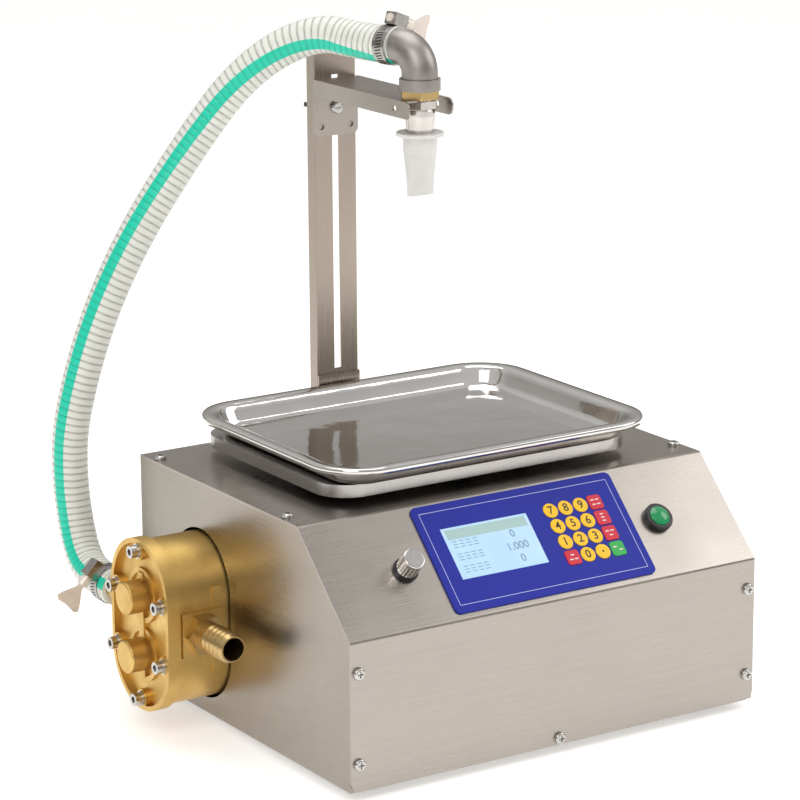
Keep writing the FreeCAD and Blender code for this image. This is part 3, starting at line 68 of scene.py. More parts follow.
camera_right = math.cos(roll) * level_right + math.sin(roll) * level_up
camera_up = math.cos(roll) * level_up - math.sin(roll) * level_right
camera_data = bpy.data.cameras.new("camera")
camera_data.lens = 150.6
camera_data.sensor_width = 36
camera_data.clip_end = 20
camera = bpy.data.objects.new("camera", camera_data)
bpy.context.scene.collection.objects.link(camera)
turn = Matrix((camera_right, camera_up, camera_back)).transposed().to_4x4()
camera_place = (-1.4248, -2.1462, 0.91955)
camera.matrix_world = Matrix.Translation(camera_place) @ turn
bpy.context.scene.camera = camera

# ---------------------------------------------------------------------------
# Hose
# A clear PVC suction hose of the 25 mm class, milky white, with a rigid spiral
# moulded into its wall and one green line printed along it; clamped at each end.
# ---------------------------------------------------------------------------


def rgb(code):
    """An sRGB hex colour as the linear values that a shader takes."""
    parts = [int(code[start:start + 2], 16) / 255 for start in (1, 3, 5)]
    linear = [c / 12.92 if c <= 0.04045 else ((c + 0.055) / 1.055) ** 2.4 for c in parts]
    return linear + [1.0]


# The sockets of a mix node, by their places in its lists.
NUMBER_A, NUMBER_B, COLOR_A, COLOR_B = 2, 3, 6, 7
COLOR_OUT = 2


def add(tree, kind, inputs=None, **settings):
    """One node with its settings; an input takes a value or another node's socket."""
    node = tree.nodes.new(kind)
    for name, value in settings.items():
        setattr(node, name, value)
    for socket, value in (inputs or {}).items():
        if isinstance(value, bpy.types.NodeSocket):
            tree.links.new(value, node.inputs[socket])
        else:
            node.inputs[socket].default_value = value
    return node


def blank_material(name):
    material = bpy.data.materials.new(name)
    material.use_nodes = True
    material.node_tree.nodes.clear()
    return material, material.node_tree


def paint(material, *names):
    """Gives CAD nodes their finish."""
    for name in names:
        nodes[name].data.materials.clear()
        nodes[name].data.materials.append(material)


def show(name, mesh, material, body=None):
    """A finished mesh as a piece at the origin, riding on its body."""
    mesh.materials.clear()
    mesh.materials.append(material)
    piece = bpy.data.objects.new(name, mesh)
    bpy.context.scene.collection.objects.link(piece)
    if body:
        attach(piece, body)
    return piece


def tree_with(name, sizes):
    """A geometry tree with its geometry, its named sizes and its material as inputs."""
    tree = bpy.data.node_groups.new(name, "GeometryNodeTree")
    face = tree.interface
    face.new_socket("Geometry", in_out="INPUT", socket_type="NodeSocketGeometry")
    for label in sizes:
        face.new_socket(label, in_out="INPUT", socket_type="NodeSocketFloat")
    face.new_socket("Material", in_out="INPUT", socket_type="NodeSocketMaterial")
    face.new_socket("Geometry", in_out="OUTPUT", socket_type="NodeSocketGeometry")
    return tree, tree.nodes.new("NodeGroupInput").outputs


def end_tree(tree, geometry, material):
    real = add(tree, "GeometryNodeRealizeInstances", {"Geometry": geometry})
    dressed = add(
        tree, "GeometryNodeSetMaterial", {"Geometry": real.outputs[0], "Material": material}
    )
    add(tree, "NodeGroupOutput", {"Geometry": dressed.outputs[0]})


def grow(source, tree, values, material):
    """The plain mesh that a tree makes from a source mesh."""
    carrier = bpy.data.objects.new("carrier", source)
    bpy.context.scene.collection.objects.link(carrier)
    modifier = carrier.modifiers.new("grow", "NODES")
    modifier.node_group = tree
    for item in tree.interface.items_tree:
        if item.in_out == "INPUT" and item.name in values:
            modifier[item.identifier] = values[item.name]
        if item.in_out == "INPUT" and item.name == "Material":
            modifier[item.identifier] = material
    shown = carrier.evaluated_get(bpy.context.evaluated_depsgraph_get())
    mesh = bpy.data.meshes.new_from_object(shown)
    bpy.data.objects.remove(carrier)
    return mesh


hose_points = [
    (-0.215, 0.157, 0.090),
    (-0.215, 0.196, 0.090),
    (-0.215, 0.217, 0.103),
    (-0.215, 0.229, 0.130),
    (-0.217, 0.232, 0.165),
    (-0.217, 0.230, 0.205),
    (-0.209, 0.225, 0.247),
    (-0.198, 0.220, 0.287),
    (-0.183, 0.214, 0.327),
    (-0.163, 0.207, 0.368),
    (-0.139, 0.198, 0.409),
    (-0.114, 0.187, 0.449),
    (-0.090, 0.171, 0.488),
    (-0.062, 0.151, 0.517),
    (-0.034, 0.126, 0.532),
    (-0.01597, 0.09804, 0.5265),
    (-0.00556, 0.05632, 0.5265),
]
hose_width = 0.030
hose_route = bpy.data.curves.new("hose_route", "CURVE")
hose_route.dimensions = "3D"
hose_route.resolution_u = 16
hose_spline = hose_route.splines.new("NURBS")
hose_spline.points.add(len(hose_points) - 1)
for point, place in zip(hose_spline.points, hose_points):
    point.co = (*place, 1)
hose_spline.order_u = 3
hose_spline.use_endpoint_u = True
route_object = bpy.data.objects.new("hose_route", hose_route)
bpy.context.scene.collection.objects.link(route_object)
route_shown = route_object.evaluated_get(bpy.context.evaluated_depsgraph_get())
hose_line = bpy.data.meshes.new_from_object(route_shown)
bpy.data.objects.remove(route_object)

hose_pvc, tree = blank_material("hose_pvc_moulded_milky")
stripe = add(tree, "ShaderNodeAttribute", attribute_name="from_stripe")
groove_shade = add(tree, "ShaderNodeAttribute", attribute_name="groove_shade")
place = add(tree, "ShaderNodeTexCoord").outputs["Object"]
# A clouding of the PVC, in patches of about 8 mm.
cloud = add(tree, "ShaderNodeTexNoise", {"Vector": place, "Scale": 125.0, "Detail": 3.0})
milk = add(
    tree,
    "ShaderNodeMix",
    {"Factor": cloud.outputs["Fac"], COLOR_A: rgb("#dddfd6"), COLOR_B: rgb("#efefe8")},
    data_type="RGBA",
)
# Painted shade: the milky colour turns grey in a thin band at the bottom of each groove between
# the ribs.
groove_shaded_milk = add(
    tree,
    "ShaderNodeMix",
    {"Factor": groove_shade.outputs["Fac"], COLOR_A: milk.outputs[COLOR_OUT], COLOR_B: rgb("#86887f")},
    data_type="RGBA",
)
# Painted shade: the printed green line darkens likewise at the bottom of each groove.
green = add(
    tree,
    "ShaderNodeMix",
    {"Factor": groove_shade.outputs["Fac"], COLOR_A: rgb("#14d2b2"), COLOR_B: rgb("#0fb396")},
    data_type="RGBA",
)
# The printed line is 9.5 mm wide, with an edge that softens over half a millimetre.
edge = add(
    tree,
    "ShaderNodeMapRange",
    {
        "Value": stripe.outputs["Fac"],
        "From Min": 0.0045,
        "From Max": 0.0050,
        "To Min": 1.0,
        "To Max": 0.0,
    },
)
skin = add(
    tree,
    "ShaderNodeMix",
    {
        "Factor": edge.outputs[0],
        COLOR_A: groove_shaded_milk.outputs[COLOR_OUT],
        COLOR_B: green.outputs[COLOR_OUT],
    },
    data_type="RGBA",
)
sheen = add(
    tree,
    "ShaderNodeMapRange",
    {"Value": cloud.outputs["Fac"], "To Min": 0.28, "To Max": 0.44},
)
grain = add(tree, "ShaderNodeTexNoise", {"Vector": place, "Scale": 900.0, "Detail": 2.0})
bump = add(
    tree, "ShaderNodeBump", {"Height": grain.outputs["Fac"], "Strength": 0.12, "Distance": 0.0003}
)
shader = add(
    tree,
    "ShaderNodeBsdfPrincipled",
    {
        "Base Color": skin.outputs[COLOR_OUT],
        "Roughness": sheen.outputs[0],
        "Normal": bump.outputs[0],
        "IOR": 1.53,
        "Subsurface Weight": 0.25,
        "Subsurface Radius": (0.004, 0.004, 0.004),
        "Subsurface Scale": 1.0,
    },
)
add(tree, "ShaderNodeOutputMaterial", {"Surface": shader.outputs[0]})

tree, sizes = tree_with(
    "ribbed_hose", ["Radius", "Rib Height", "Rib Pitch", "Step", "Stripe Start", "Stripe End"]
)
line = add(tree, "GeometryNodeMeshToCurve", {"Mesh": sizes["Geometry"]})
even = add(
    tree,
    "GeometryNodeResampleCurve",
    {"Curve": line.outputs[0], "Length": sizes["Step"]},
    mode="LENGTH",
)
run = add(tree, "GeometryNodeSplineParameter")
length_kept = add(tree, "GeometryNodeCaptureAttribute", {"Geometry": even.outputs[0]})
length_kept.capture_items.new("FLOAT", "along")
length_kept.capture_items.new("FLOAT", "share")
tree.links.new(run.outputs["Length"], length_kept.inputs["along"])
tree.links.new(run.outputs["Factor"], length_kept.inputs["share"])
ring = add(
    tree, "GeometryNodeCurvePrimitiveCircle", {"Resolution": 40, "Radius": sizes["Radius"]}
)
ring_run = add(tree, "GeometryNodeSplineParameter")
round_kept = add(tree, "GeometryNodeCaptureAttribute", {"Geometry": ring.outputs[0]})
round_kept.capture_items.new("FLOAT", "around")
tree.links.new(ring_run.outputs["Factor"], round_kept.inputs["around"])
tube = add(
    tree,
    "GeometryNodeCurveToMesh",
    {"Curve": length_kept.outputs[0], "Profile Curve": round_kept.outputs[0], "Fill Caps": True},
)
along = length_kept.outputs["along"]
around = round_kept.outputs["around"]
turns = add(tree, "ShaderNodeMath", {0: along, 1: sizes["Rib Pitch"]}, operation="DIVIDE")
phase = add(tree, "ShaderNodeMath", {0: turns.outputs[0], 1: around}, operation="ADD")
part = add(tree, "ShaderNodeMath", {0: phase.outputs[0]}, operation="FRACT")
middle = add(tree, "ShaderNodeMath", {0: part.outputs[0], 1: 0.5}, operation="SUBTRACT")
off = add(tree, "ShaderNodeMath", {0: middle.outputs[0]}, operation="ABSOLUTE")
twice = add(tree, "ShaderNodeMath", {0: off.outputs[0], 1: 2.0}, operation="MULTIPLY")
sunk = add(tree, "ShaderNodeMath", {0: twice.outputs[0], 1: 5.0}, operation="POWER")
proud = add(tree, "ShaderNodeMath", {0: 1.0, 1: sunk.outputs[0]}, operation="SUBTRACT")
lift = add(
    tree, "ShaderNodeMath", {0: proud.outputs[0], 1: sizes["Rib Height"]}, operation="MULTIPLY"
)
outward = add(tree, "GeometryNodeInputNormal")
offset = add(
    tree,
    "ShaderNodeVectorMath",
    {0: outward.outputs[0], "Scale": lift.outputs[0]},
    operation="SCALE",
)
ribbed = add(
    tree, "GeometryNodeSetPosition", {"Geometry": tube.outputs[0], "Offset": offset.outputs[0]}
)
# The printed line keeps its side up the long run, then winds under at the top.
late = add(tree, "ShaderNodeMath", {0: length_kept.outputs["share"], 1: 4.0}, operation="POWER")
stripe_at = add(
    tree,
    "ShaderNodeMix",
    {"Factor": late.outputs[0], NUMBER_A: sizes["Stripe Start"], NUMBER_B: sizes["Stripe End"]},
)
apart = add(tree, "ShaderNodeMath", {0: around, 1: stripe_at.outputs[0]}, operation="SUBTRACT")
near = add(tree, "ShaderNodeMath", {0: apart.outputs[0], 1: 0.5, 2: -0.5}, operation="WRAP")
near = add(tree, "ShaderNodeMath", {0: near.outputs[0]}, operation="ABSOLUTE")
girth = add(tree, "ShaderNodeMath", {0: sizes["Radius"], 1: 2 * math.pi}, operation="MULTIPLY")
from_stripe = add(
    tree, "ShaderNodeMath", {0: near.outputs[0], 1: girth.outputs[0]}, operation="MULTIPLY"
)
marked = add(
    tree,
    "GeometryNodeStoreNamedAttribute",
    {"Geometry": ribbed.outputs[0], "Name": "from_stripe", "Value": from_stripe.outputs[0]},
    data_type="FLOAT",
)
# The groove's depth, stored as the mask of the painted shade in the grooves.
marked = add(
    tree,
    "GeometryNodeStoreNamedAttribute",
    {"Geometry": marked.outputs[0], "Name": "groove_shade", "Value": sunk.outputs[0]},
    data_type="FLOAT",
)
end_tree(tree, marked.outputs[0], sizes["Material"])
rib_height = 0.0007
hose_mesh = grow(
    hose_line,
    tree,
    {
        "Radius": hose_width / 2 - rib_height,
        "Rib Height": rib_height,
        "Rib Pitch": 0.0060,
        "Step": 0.00075,
        "Stripe Start": 0.56,
        "Stripe End": 0.80,
    },
    hose_pvc,
)
hose = show("ribbed_hose", hose_mesh, hose_pvc)
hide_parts("hose")
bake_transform(hose)

# ---------------------------------------------------------------------------
# Casing
# Folded stainless sheet, grade 304, brushed along its length with a medium belt:
# long soft scratches, a warm grey, and blurred reflections drawn out across them.
# ---------------------------------------------------------------------------


def brushed_sheet(name, stretch, light, dark, low, high):
    """Brushed stainless: stretch is the scratches' scale, per metre, on each axis."""
    material, tree = blank_material(name)
    place = add(tree, "ShaderNodeTexCoord").outputs["Object"]
    drawn = add(tree, "ShaderNodeMapping", {"Vector": place, "Scale": stretch})
    scratch = add(
        tree,
        "ShaderNodeTexNoise",
        {"Vector": drawn.outputs[0], "Scale": 1.0, "Detail": 4.0, "Roughness": 0.65},
    )
    # Handling leaves faint patches a few centimetres across.
    patch = add(tree, "ShaderNodeTexNoise", {"Vector": place, "Scale": 14.0, "Detail": 2.0})
    tone = add(
        tree,
        "ShaderNodeMix",
        {"Factor": scratch.outputs["Fac"], COLOR_A: rgb(dark), COLOR_B: rgb(light)},
        data_type="RGBA",
    )
    worn = add(
        tree,
        "ShaderNodeMapRange",
        {
            "Value": patch.outputs["Fac"],
            "From Min": 0.3,
            "From Max": 0.7,
            "To Min": low,
            "To Max": high,
        },
    )
    rub = add(
        tree,
        "ShaderNodeMath",
        {0: scratch.outputs["Fac"], 1: 0.16, 2: worn.outputs[0]},
        operation="MULTIPLY_ADD",
    )
    bump = add(
        tree,
        "ShaderNodeBump",
        {"Height": scratch.outputs["Fac"], "Strength": 0.10, "Distance": 0.0002},
    )
    shader = add(
        tree,
        "ShaderNodeBsdfPrincipled",
        {
            "Base Color": tone.outputs[COLOR_OUT],
            "Metallic": 1.0,
            "Roughness": rub.outputs[0],
            "Normal": bump.outputs[0],
        },
    )
    add(tree, "ShaderNodeOutputMaterial", {"Surface": shader.outputs[0]})
    return material


# Scratches about 0.4 mm apart, drawn that coarse so that they show, and 8 cm long.
sheet_across = brushed_sheet(
    "stainless_brushed_across", (12, 2500, 2500), "#b8b1aa", "#9b948d", 0.17, 0.25
)
# Painted shade: the same sheet in a darker tone, for the chassis and the pump bracket.
sheet_back_shaded = brushed_sheet(
    "stainless_brushed_to_the_back_shaded", (2500, 12, 2500), "#aca59c", "#928b82", 0.17, 0.25
)
# Painted reflection: the same sheet in a warmer, browner tone, for the column and its foot.
sheet_upright_brown_reflection = brushed_sheet(
    "stainless_brushed_upright_brown_reflection", (2500, 2500, 12), "#b4a89d", "#958a80", 0.16, 0.24
)
paint(sheet_across, "front_top_cover", "rear_panel", "nozzle_arm", "load_cell_bridge")
paint(sheet_back_shaded, "chassis", "pump_bracket")
paint(sheet_upright_brown_reflection, "column", "column_foot")


def even_finish(name, light, dark, spot_mm, low, high, bump_mm=0.0, strength=0.2, **sockets):
    """A finish with patches and a fine relief of one size, in millimetres."""
    material, tree = blank_material(name)
    place = add(tree, "ShaderNodeTexCoord").outputs["Object"]
    patch = add(
        tree, "ShaderNodeTexNoise", {"Vector": place, "Scale": 1000 / spot_mm, "Detail": 3.0}
    )
    tone = add(
        tree,
        "ShaderNodeMix",
        {"Factor": patch.outputs["Fac"], COLOR_A: rgb(dark), COLOR_B: rgb(light)},
        data_type="RGBA",
    )
    rub = add(
        tree,
        "ShaderNodeMapRange",
        {
            "Value": patch.outputs["Fac"],
            "From Min": 0.3,
            "From Max": 0.7,
            "To Min": low,
            "To Max": high,
        },
    )
    inputs = {"Base Color": tone.outputs[COLOR_OUT], "Roughness": rub.outputs[0]}
    if bump_mm:
        relief = add(
            tree, "ShaderNodeTexNoise", {"Vector": place, "Scale": 1000 / bump_mm, "Detail": 2.0}
        )
        bump = add(
            tree,
            "ShaderNodeBump",
            {"Height": relief.outputs["Fac"], "Strength": strength, "Distance": bump_mm / 3000},
        )
        inputs["Normal"] = bump.outputs[0]
    for socket, value in sockets.items():
        inputs[socket.replace("_", " ")] = value
    shader = add(tree, "ShaderNodeBsdfPrincipled", inputs)
    add(tree, "ShaderNodeOutputMaterial", {"Surface": shader.outputs[0]})
    return material


# ---------------------------------------------------------------------------
# Feet and casing screws
# Moulded black rubber feet, and pan-head screws of polished stainless.
# ---------------------------------------------------------------------------
rubber = even_finish("rubber_moulded_black", "#2a2a2b", "#151516", 6, 0.55, 0.75, 0.6, IOR=1.5)
screw_steel = even_finish(
    "stainless_screw_polished", "#d8d6d3", "#a5a3a0", 3, 0.16, 0.30, 0.5, 0.1, Metallic=1.0
)
paint(rubber, "rubber_feet")
paint(screw_steel, "casing_screws")

# ---------------------------------------------------------------------------
# Load cell and spider
# Machined aluminium inside the casing, dull and slightly streaked by the cutter.
# ---------------------------------------------------------------------------
aluminium = even_finish(
    "aluminium_milled", "#c9cacc", "#a9abad", 5, 0.30, 0.45, 0.8, 0.15, Metallic=1.0
)
paint(aluminium, "load_cell", "platform_spider", "motor_coupling")

# ---------------------------------------------------------------------------
# Weighing platform
# A folded stainless plate with soft corners, buffed rather than brushed.
# ---------------------------------------------------------------------------
platform_steel = brushed_sheet(
    "stainless_buffed", (18, 1600, 1600), "#c4c0bd", "#9d9a98", 0.10, 0.18
)
paint(platform_steel, "weighing_platform")

# ---------------------------------------------------------------------------
# Tray
# Pressed from 1 mm stainless and mirror polished: a flat rim turned down at its
# edge, a flared wall and a floor that is very slightly uneven.
# ---------------------------------------------------------------------------
tray_steel = even_finish(
    "stainless_mirror_polished", "#e4e2e0", "#cfcdcb", 60, 0.05, 0.12, 45, 0.05, Metallic=1.0
)
tray_low, tray_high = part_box("tray")
tray_middle = (tray_low + tray_high) / 2
tray_half = (tray_high - tray_low) / 2
tray_corner = 0.044
# Distance in from the outer edge and height above the tray's underside.
tray_section = [
    (0.0000, 0.0130),
    (0.0000, 0.0160),
    (0.0003, 0.0172),
    (0.0012, 0.0180),
    (0.0055, 0.0180),
    (0.0092, 0.0179),
    (0.0112, 0.0173),
    (0.0126, 0.0160),
    (0.0142, 0.0125),
    (0.0172, 0.0055),
    (0.0190, 0.0025),
    (0.0212, 0.0013),
    (0.0240, 0.0010),
]
corner_steps = 14
tray_rings = []
tray_bm = bmesh.new()
for inset, height in tray_section:
    loop = []
    radius = tray_corner - inset
    for quarter, (side_x, side_y) in enumerate(((1, 1), (-1, 1), (-1, -1), (1, -1))):
        centre_x = tray_middle.x + side_x * (tray_half.x - tray_corner)
        centre_y = tray_middle.y + side_y * (tray_half.y - tray_corner)
        for step in range(corner_steps + 1):
            angle = math.radians(90) * (quarter + step / corner_steps)
            spot = (
                centre_x + radius * math.cos(angle),
                centre_y + radius * math.sin(angle),
                tray_low.z + height,
            )
            loop.append(tray_bm.verts.new(spot))
    tray_rings.append(loop)
for outer, inner in zip(tray_rings, tray_rings[1:]):
    for index in range(len(outer)):
        after = (index + 1) % len(outer)
        tray_bm.faces.new((outer[index], outer[after], inner[after], inner[index]))
tray_bm.faces.new(tray_rings[-1])
tray_mesh = bpy.data.meshes.new("pressed_tray")
tray_bm.to_mesh(tray_mesh)
tray_bm.free()
tray_mesh.polygons.foreach_set("use_smooth", [True] * len(tray_mesh.polygons))
tray = show("pressed_tray", tray_mesh, tray_steel, "tray")
wall = tray.modifiers.new("wall", "SOLIDIFY")
wall.thickness = 0.0009
wall.offset = -1
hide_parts("tray")

# ---------------------------------------------------------------------------
# Pump
# Body, cover and hose tails are sand-cast brass, blasted and left bare: golden,
# grainy, with small pits and a browner tone where the casting is roughest.
# ---------------------------------------------------------------------------
cast_brass, tree = blank_material("brass_sand_cast")
place = add(tree, "ShaderNodeTexCoord").outputs["Object"]
tarnish = add(tree, "ShaderNodeTexNoise", {"Vector": place, "Scale": 45.0, "Detail": 5.0})
sand = add(tree, "ShaderNodeTexNoise", {"Vector": place, "Scale": 1400.0, "Detail": 3.0})
pits = add(tree, "ShaderNodeTexVoronoi", {"Vector": place, "Scale": 260.0})
pit_depth = add(
    tree,
    "ShaderNodeMapRange",
    {"Value": pits.outputs["Distance"], "From Min": 0.05, "From Max": 0.22},
)
tone = add(
    tree,
    "ShaderNodeMix",
    {"Factor": tarnish.outputs["Fac"], COLOR_A: rgb("#bd9750"), COLOR_B: rgb("#e8c67f")},
    data_type="RGBA",
)
rough = add(
    tree,
    "ShaderNodeMapRange",
    {
        "Value": tarnish.outputs["Fac"],
        "From Min": 0.3,
        "From Max": 0.7,
        "To Min": 0.50,
        "To Max": 0.34,
    },
)
relief = add(
    tree,
    "ShaderNodeMath",
    {0: pit_depth.outputs[0], 1: 0.5, 2: sand.outputs["Fac"]},
    operation="MULTIPLY_ADD",
)
bump = add(
    tree, "ShaderNodeBump", {"Height": relief.outputs[0], "Strength": 0.30, "Distance": 0.0003}
)
shader = add(
    tree,
    "ShaderNodeBsdfPrincipled",
    {
        "Base Color": tone.outputs[COLOR_OUT],
        "Metallic": 1.0,
        "Roughness": rough.outputs[0],
        "Normal": bump.outputs[0],
    },
)
add(tree, "ShaderNodeOutputMaterial", {"Surface": shader.outputs[0]})
turned_brass = brushed_sheet(
    "brass_turned", (2000, 2000, 2000), "#d8bd88", "#a98c58", 0.18, 0.28
)
paint(cast_brass, "pump_body", "pump_cover")
paint(turned_brass, "inlet_barb", "outlet_barb", "brass_locknut")

# ---------------------------------------------------------------------------
# Pump bolts
# Socket-head cap screws of stainless steel, bright, on flat washers.
# ---------------------------------------------------------------------------
paint(screw_steel, "pump_bolts")

# ---------------------------------------------------------------------------
# Gears, shafts and motor
# Ground steel gears and shafts inside the pump; a grey enamelled motor.
# ---------------------------------------------------------------------------
ground_steel = even_finish(
    "steel_ground", "#b7b8ba", "#8f9092", 4, 0.18, 0.32, 0.5, 0.1, Metallic=1.0
)
enamel = even_finish("enamel_sprayed_grey", "#555a61", "#43474d", 30, 0.35, 0.45, 1.5, 0.1)
paint(ground_steel, "drive_gear", "idler_gear", "drive_shaft", "bushes_and_seal")
paint(enamel, "drive_motor")

# ---------------------------------------------------------------------------
# Arm screws and wing nut
# A pan-head clamp screw of polished steel, and a cast wing nut behind the column.
# ---------------------------------------------------------------------------
wing_iron = even_finish(
    "wing_nut_cast_plated", "#6b665f", "#45413c", 5, 0.35, 0.55, 0.9, 0.3, Metallic=1.0
)
paint(screw_steel, "clamp_bolt")
paint(wing_iron, "wing_nut")

# ---------------------------------------------------------------------------
# Nozzle
# A turned and polished stainless body, screwed through the arm.
# ---------------------------------------------------------------------------
nozzle_steel = even_finish(
    "stainless_turned_polished", "#dcd8d4", "#b8b3ae", 9, 0.08, 0.16, 0.4, 0.05, Metallic=1.0
)
paint(nozzle_steel, "nozzle_body")

# ---------------------------------------------------------------------------
# Elbow
# Investment-cast stainless, blasted matte, with a fine even grain all over.
# ---------------------------------------------------------------------------
cast_steel = even_finish(
    "stainless_cast_blasted", "#b3ada9", "#8d8783", 12, 0.36, 0.48, 0.55, 0.45, Metallic=1.0
)
paint(cast_steel, "elbow")

# ---------------------------------------------------------------------------
# Duckbill valve
# Moulded from milky silicone rubber: soft, half clear, with a satin skin.
# ---------------------------------------------------------------------------
silicone = even_finish(
    "silicone_moulded_milky",
    "#faf8f5",
    "#efedea",
    10,
    0.32,
    0.42,
    1.0,
    0.08,
    IOR=1.41,
    Transmission_Weight=0.2,
    Subsurface_Weight=0.3,
    Subsurface_Radius=(0.006, 0.006, 0.006),
    Subsurface_Scale=1.0,
)
paint(silicone, "duckbill_valve")

# ---------------------------------------------------------------------------
# Hose clamps
# Worm-drive bands of stainless strip with a ring of dark marks for their punched
# slots, and a pressed, plated wing on each screw.
# ---------------------------------------------------------------------------
clamp_steel = even_finish(
    "stainless_strip_rolled", "#c3c0bc", "#8f8c89", 4, 0.18, 0.30, 0.5, 0.1, Metallic=1.0
)
slot_shadow = even_finish("clamp_slot_shadow", "#26241f", "#161512", 2, 0.6, 0.8)
plated_wing = even_finish(
    "wing_plated_pale", "#f1e6dc", "#e2d6cb", 14, 0.24, 0.34, 1.2, 0.08, Metallic=0.25
)
paint(clamp_steel, "lower_clamp_band", "upper_clamp_band")
paint(plated_wing, "lower_clamp_screw", "upper_clamp_screw")

tree, sizes = tree_with("punched_slots", ["Count", "Radius"])
circle = add(
    tree, "GeometryNodeMeshCircle", {"Vertices": sizes["Count"], "Radius": sizes["Radius"]}
)
outward = add(tree, "GeometryNodeInputPosition")
facing = add(
    tree, "FunctionNodeAlignRotationToVector", {"Vector": outward.outputs[0]}, axis="X"
)
spread = add(
    tree,
    "GeometryNodeInstanceOnPoints",
    {
        "Points": circle.outputs[0],
        "Instance": sizes["Geometry"],
        "Rotation": facing.outputs[0],
    },
)
end_tree(tree, spread.outputs[0], sizes["Material"])

band_radius = 0.01585
slot_pitch = 0.0025
slot_size = (0.0001, 0.0010, 0.0065)
slot_slant = Matrix.Rotation(math.radians(12), 4, "X")
slot_count = round(2 * math.pi * band_radius / slot_pitch)
clamp_places = {
    "lower_clamp_slots": ((-0.215, 0.171, 0.090), (0, 1, 0), "base"),
    "upper_clamp_slots": ((-0.0075, 0.06408, 0.5265), (-0.2419, 0.9703, 0), "carriage"),
}
for name, (centre, axis, body) in clamp_places.items():
    slot_bm = bmesh.new()
    bmesh.ops.create_cube(slot_bm, size=1.0)
    slot_bm.transform(slot_slant @ Matrix.Diagonal((*slot_size, 1)))
    one_slot = bpy.data.meshes.new("one_slot")
    slot_bm.to_mesh(one_slot)
    slot_bm.free()
    values = {"Count": float(slot_count), "Radius": band_radius}
    slots_mesh = grow(one_slot, tree, values, slot_shadow)
    facing_axis = Vector(axis).to_track_quat("Z", "Y").to_matrix().to_4x4()
    slots_mesh.transform(Matrix.Translation(centre) @ facing_axis)
    show(name, slots_mesh, slot_shadow, body)

# ---------------------------------------------------------------------------
# Control panel
# A printed polyester film over the slope, deep blue with a fine pale border.
# ---------------------------------------------------------------------------
film = even_finish(
    "polyester_film_printed_blue",
    "#1f2b9c",
    "#1a258f",
    40,
    0.4,
    0.5,
    0.5,
    0.06,
    Specular_IOR_Level=0.25,
)
film_line = even_finish("film_line_pale", "#b9c0ea", "#a9b1e0", 20, 0.30, 0.40)
paint(film, "keypad_overlay")

slope = math.radians(44.6)
slope_turn = Matrix.Rotation(slope, 4, "X")
slope_out = Vector((0, -math.sin(slope), math.cos(slope)))


def on_slope(node, lift, across=0.0, up=0.0):
    """The frame of a place on the top face of a node on the slope, in metres."""
    low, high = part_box(node)
    middle = (low + high) / 2
    face = max(vertex.co.dot(slope_out) for vertex in nodes[node].data.vertices)
    seat = middle + slope_out * (face - middle.dot(slope_out) + lift)
    return Matrix.Translation(seat + slope_turn @ Vector((across, up, 0))) @ slope_turn


def plates(name, rectangles, thickness, place, material, body):
    """Thin raised plates, each given by its centre and its size, as one piece."""
    mesh = bpy.data.meshes.new(name)
    bm = bmesh.new()
    for x, y, width, height in rectangles:
        made = bmesh.ops.create_cube(bm, size=1.0)
        shape = Matrix.Translation((x, y, thickness / 2)) @ Matrix.Diagonal(
            (width, height, thickness, 1)
        )
        bmesh.ops.transform(bm, matrix=shape, verts=made["verts"])
    bm.transform(place)
    bm.to_mesh(mesh)
    bm.free()
    return show(name, mesh, material, body)


def figures(name, text, height, place, material, body):
    """Printed figures as a thin raised mesh."""
    letters = bpy.data.curves.new(name, "FONT")
    letters.body = text
    letters.size = height
    letters.align_x = "CENTER"
    letters.align_y = "CENTER"
    letters.extrude = 0.00004
    letters.offset = height * 0.012
    carrier = bpy.data.objects.new("carrier", letters)
    bpy.context.scene.collection.objects.link(carrier)
    shown = carrier.evaluated_get(bpy.context.evaluated_depsgraph_get())
    mesh = bpy.data.meshes.new_from_object(shown)
    bpy.data.objects.remove(carrier)
    mesh.transform(place)
    return show(name, mesh, material, body)


border_x = 0.088
border_y = 0.0405
line_width = 0.0005
print_lift = 0.00002
plates(
    "overlay_border",
    [
        (0, border_y, 2 * border_x, line_width),
        (0, -border_y, 2 * border_x, line_width),
        (border_x, 0, line_width, 2 * border_y),
        (-border_x, 0, line_width, 2 * border_y),
    ],
    0.00005,
    on_slope("keypad_overlay", print_lift),
    film_line,
    "base",
)

# ---------------------------------------------------------------------------
# Keys
# Moulded caps in the panel: yellow with dark figures, red and green squares with
# plain marks.
# ---------------------------------------------------------------------------
key_yellow = even_finish("key_abs_yellow", "#f8c70b", "#eeb700", 5, 0.28, 0.36, 0.6, 0.06)
key_red = even_finish("key_abs_red", "#d21533", "#bd0c28", 5, 0.28, 0.36, 0.6, 0.06)
key_green = even_finish("key_abs_green", "#22b04a", "#179a3c", 5, 0.28, 0.36, 0.6, 0.06)
ink_dark = even_finish("key_ink_dark", "#2e2a20", "#221f18", 3, 0.40, 0.50)
ink_pale = even_finish("key_ink_pale", "#f3d9d9", "#e7c9c9", 3, 0.40, 0.50)
key_lift = 0.00004
for digit in "0123456789":
    name = "key_" + digit
    paint(key_yellow, name)
    figures("figure_" + digit, digit, 0.0098, on_slope(name, key_lift), ink_dark, name)
paint(key_yellow, "key_point")
plates(
    "figure_point",
    [(0, 0, 0.0016, 0.0016)],
    0.00008,
    on_slope("key_point", key_lift),
    ink_dark,
    "key_point",
)
mark_size = (0.0032, 0.0011)
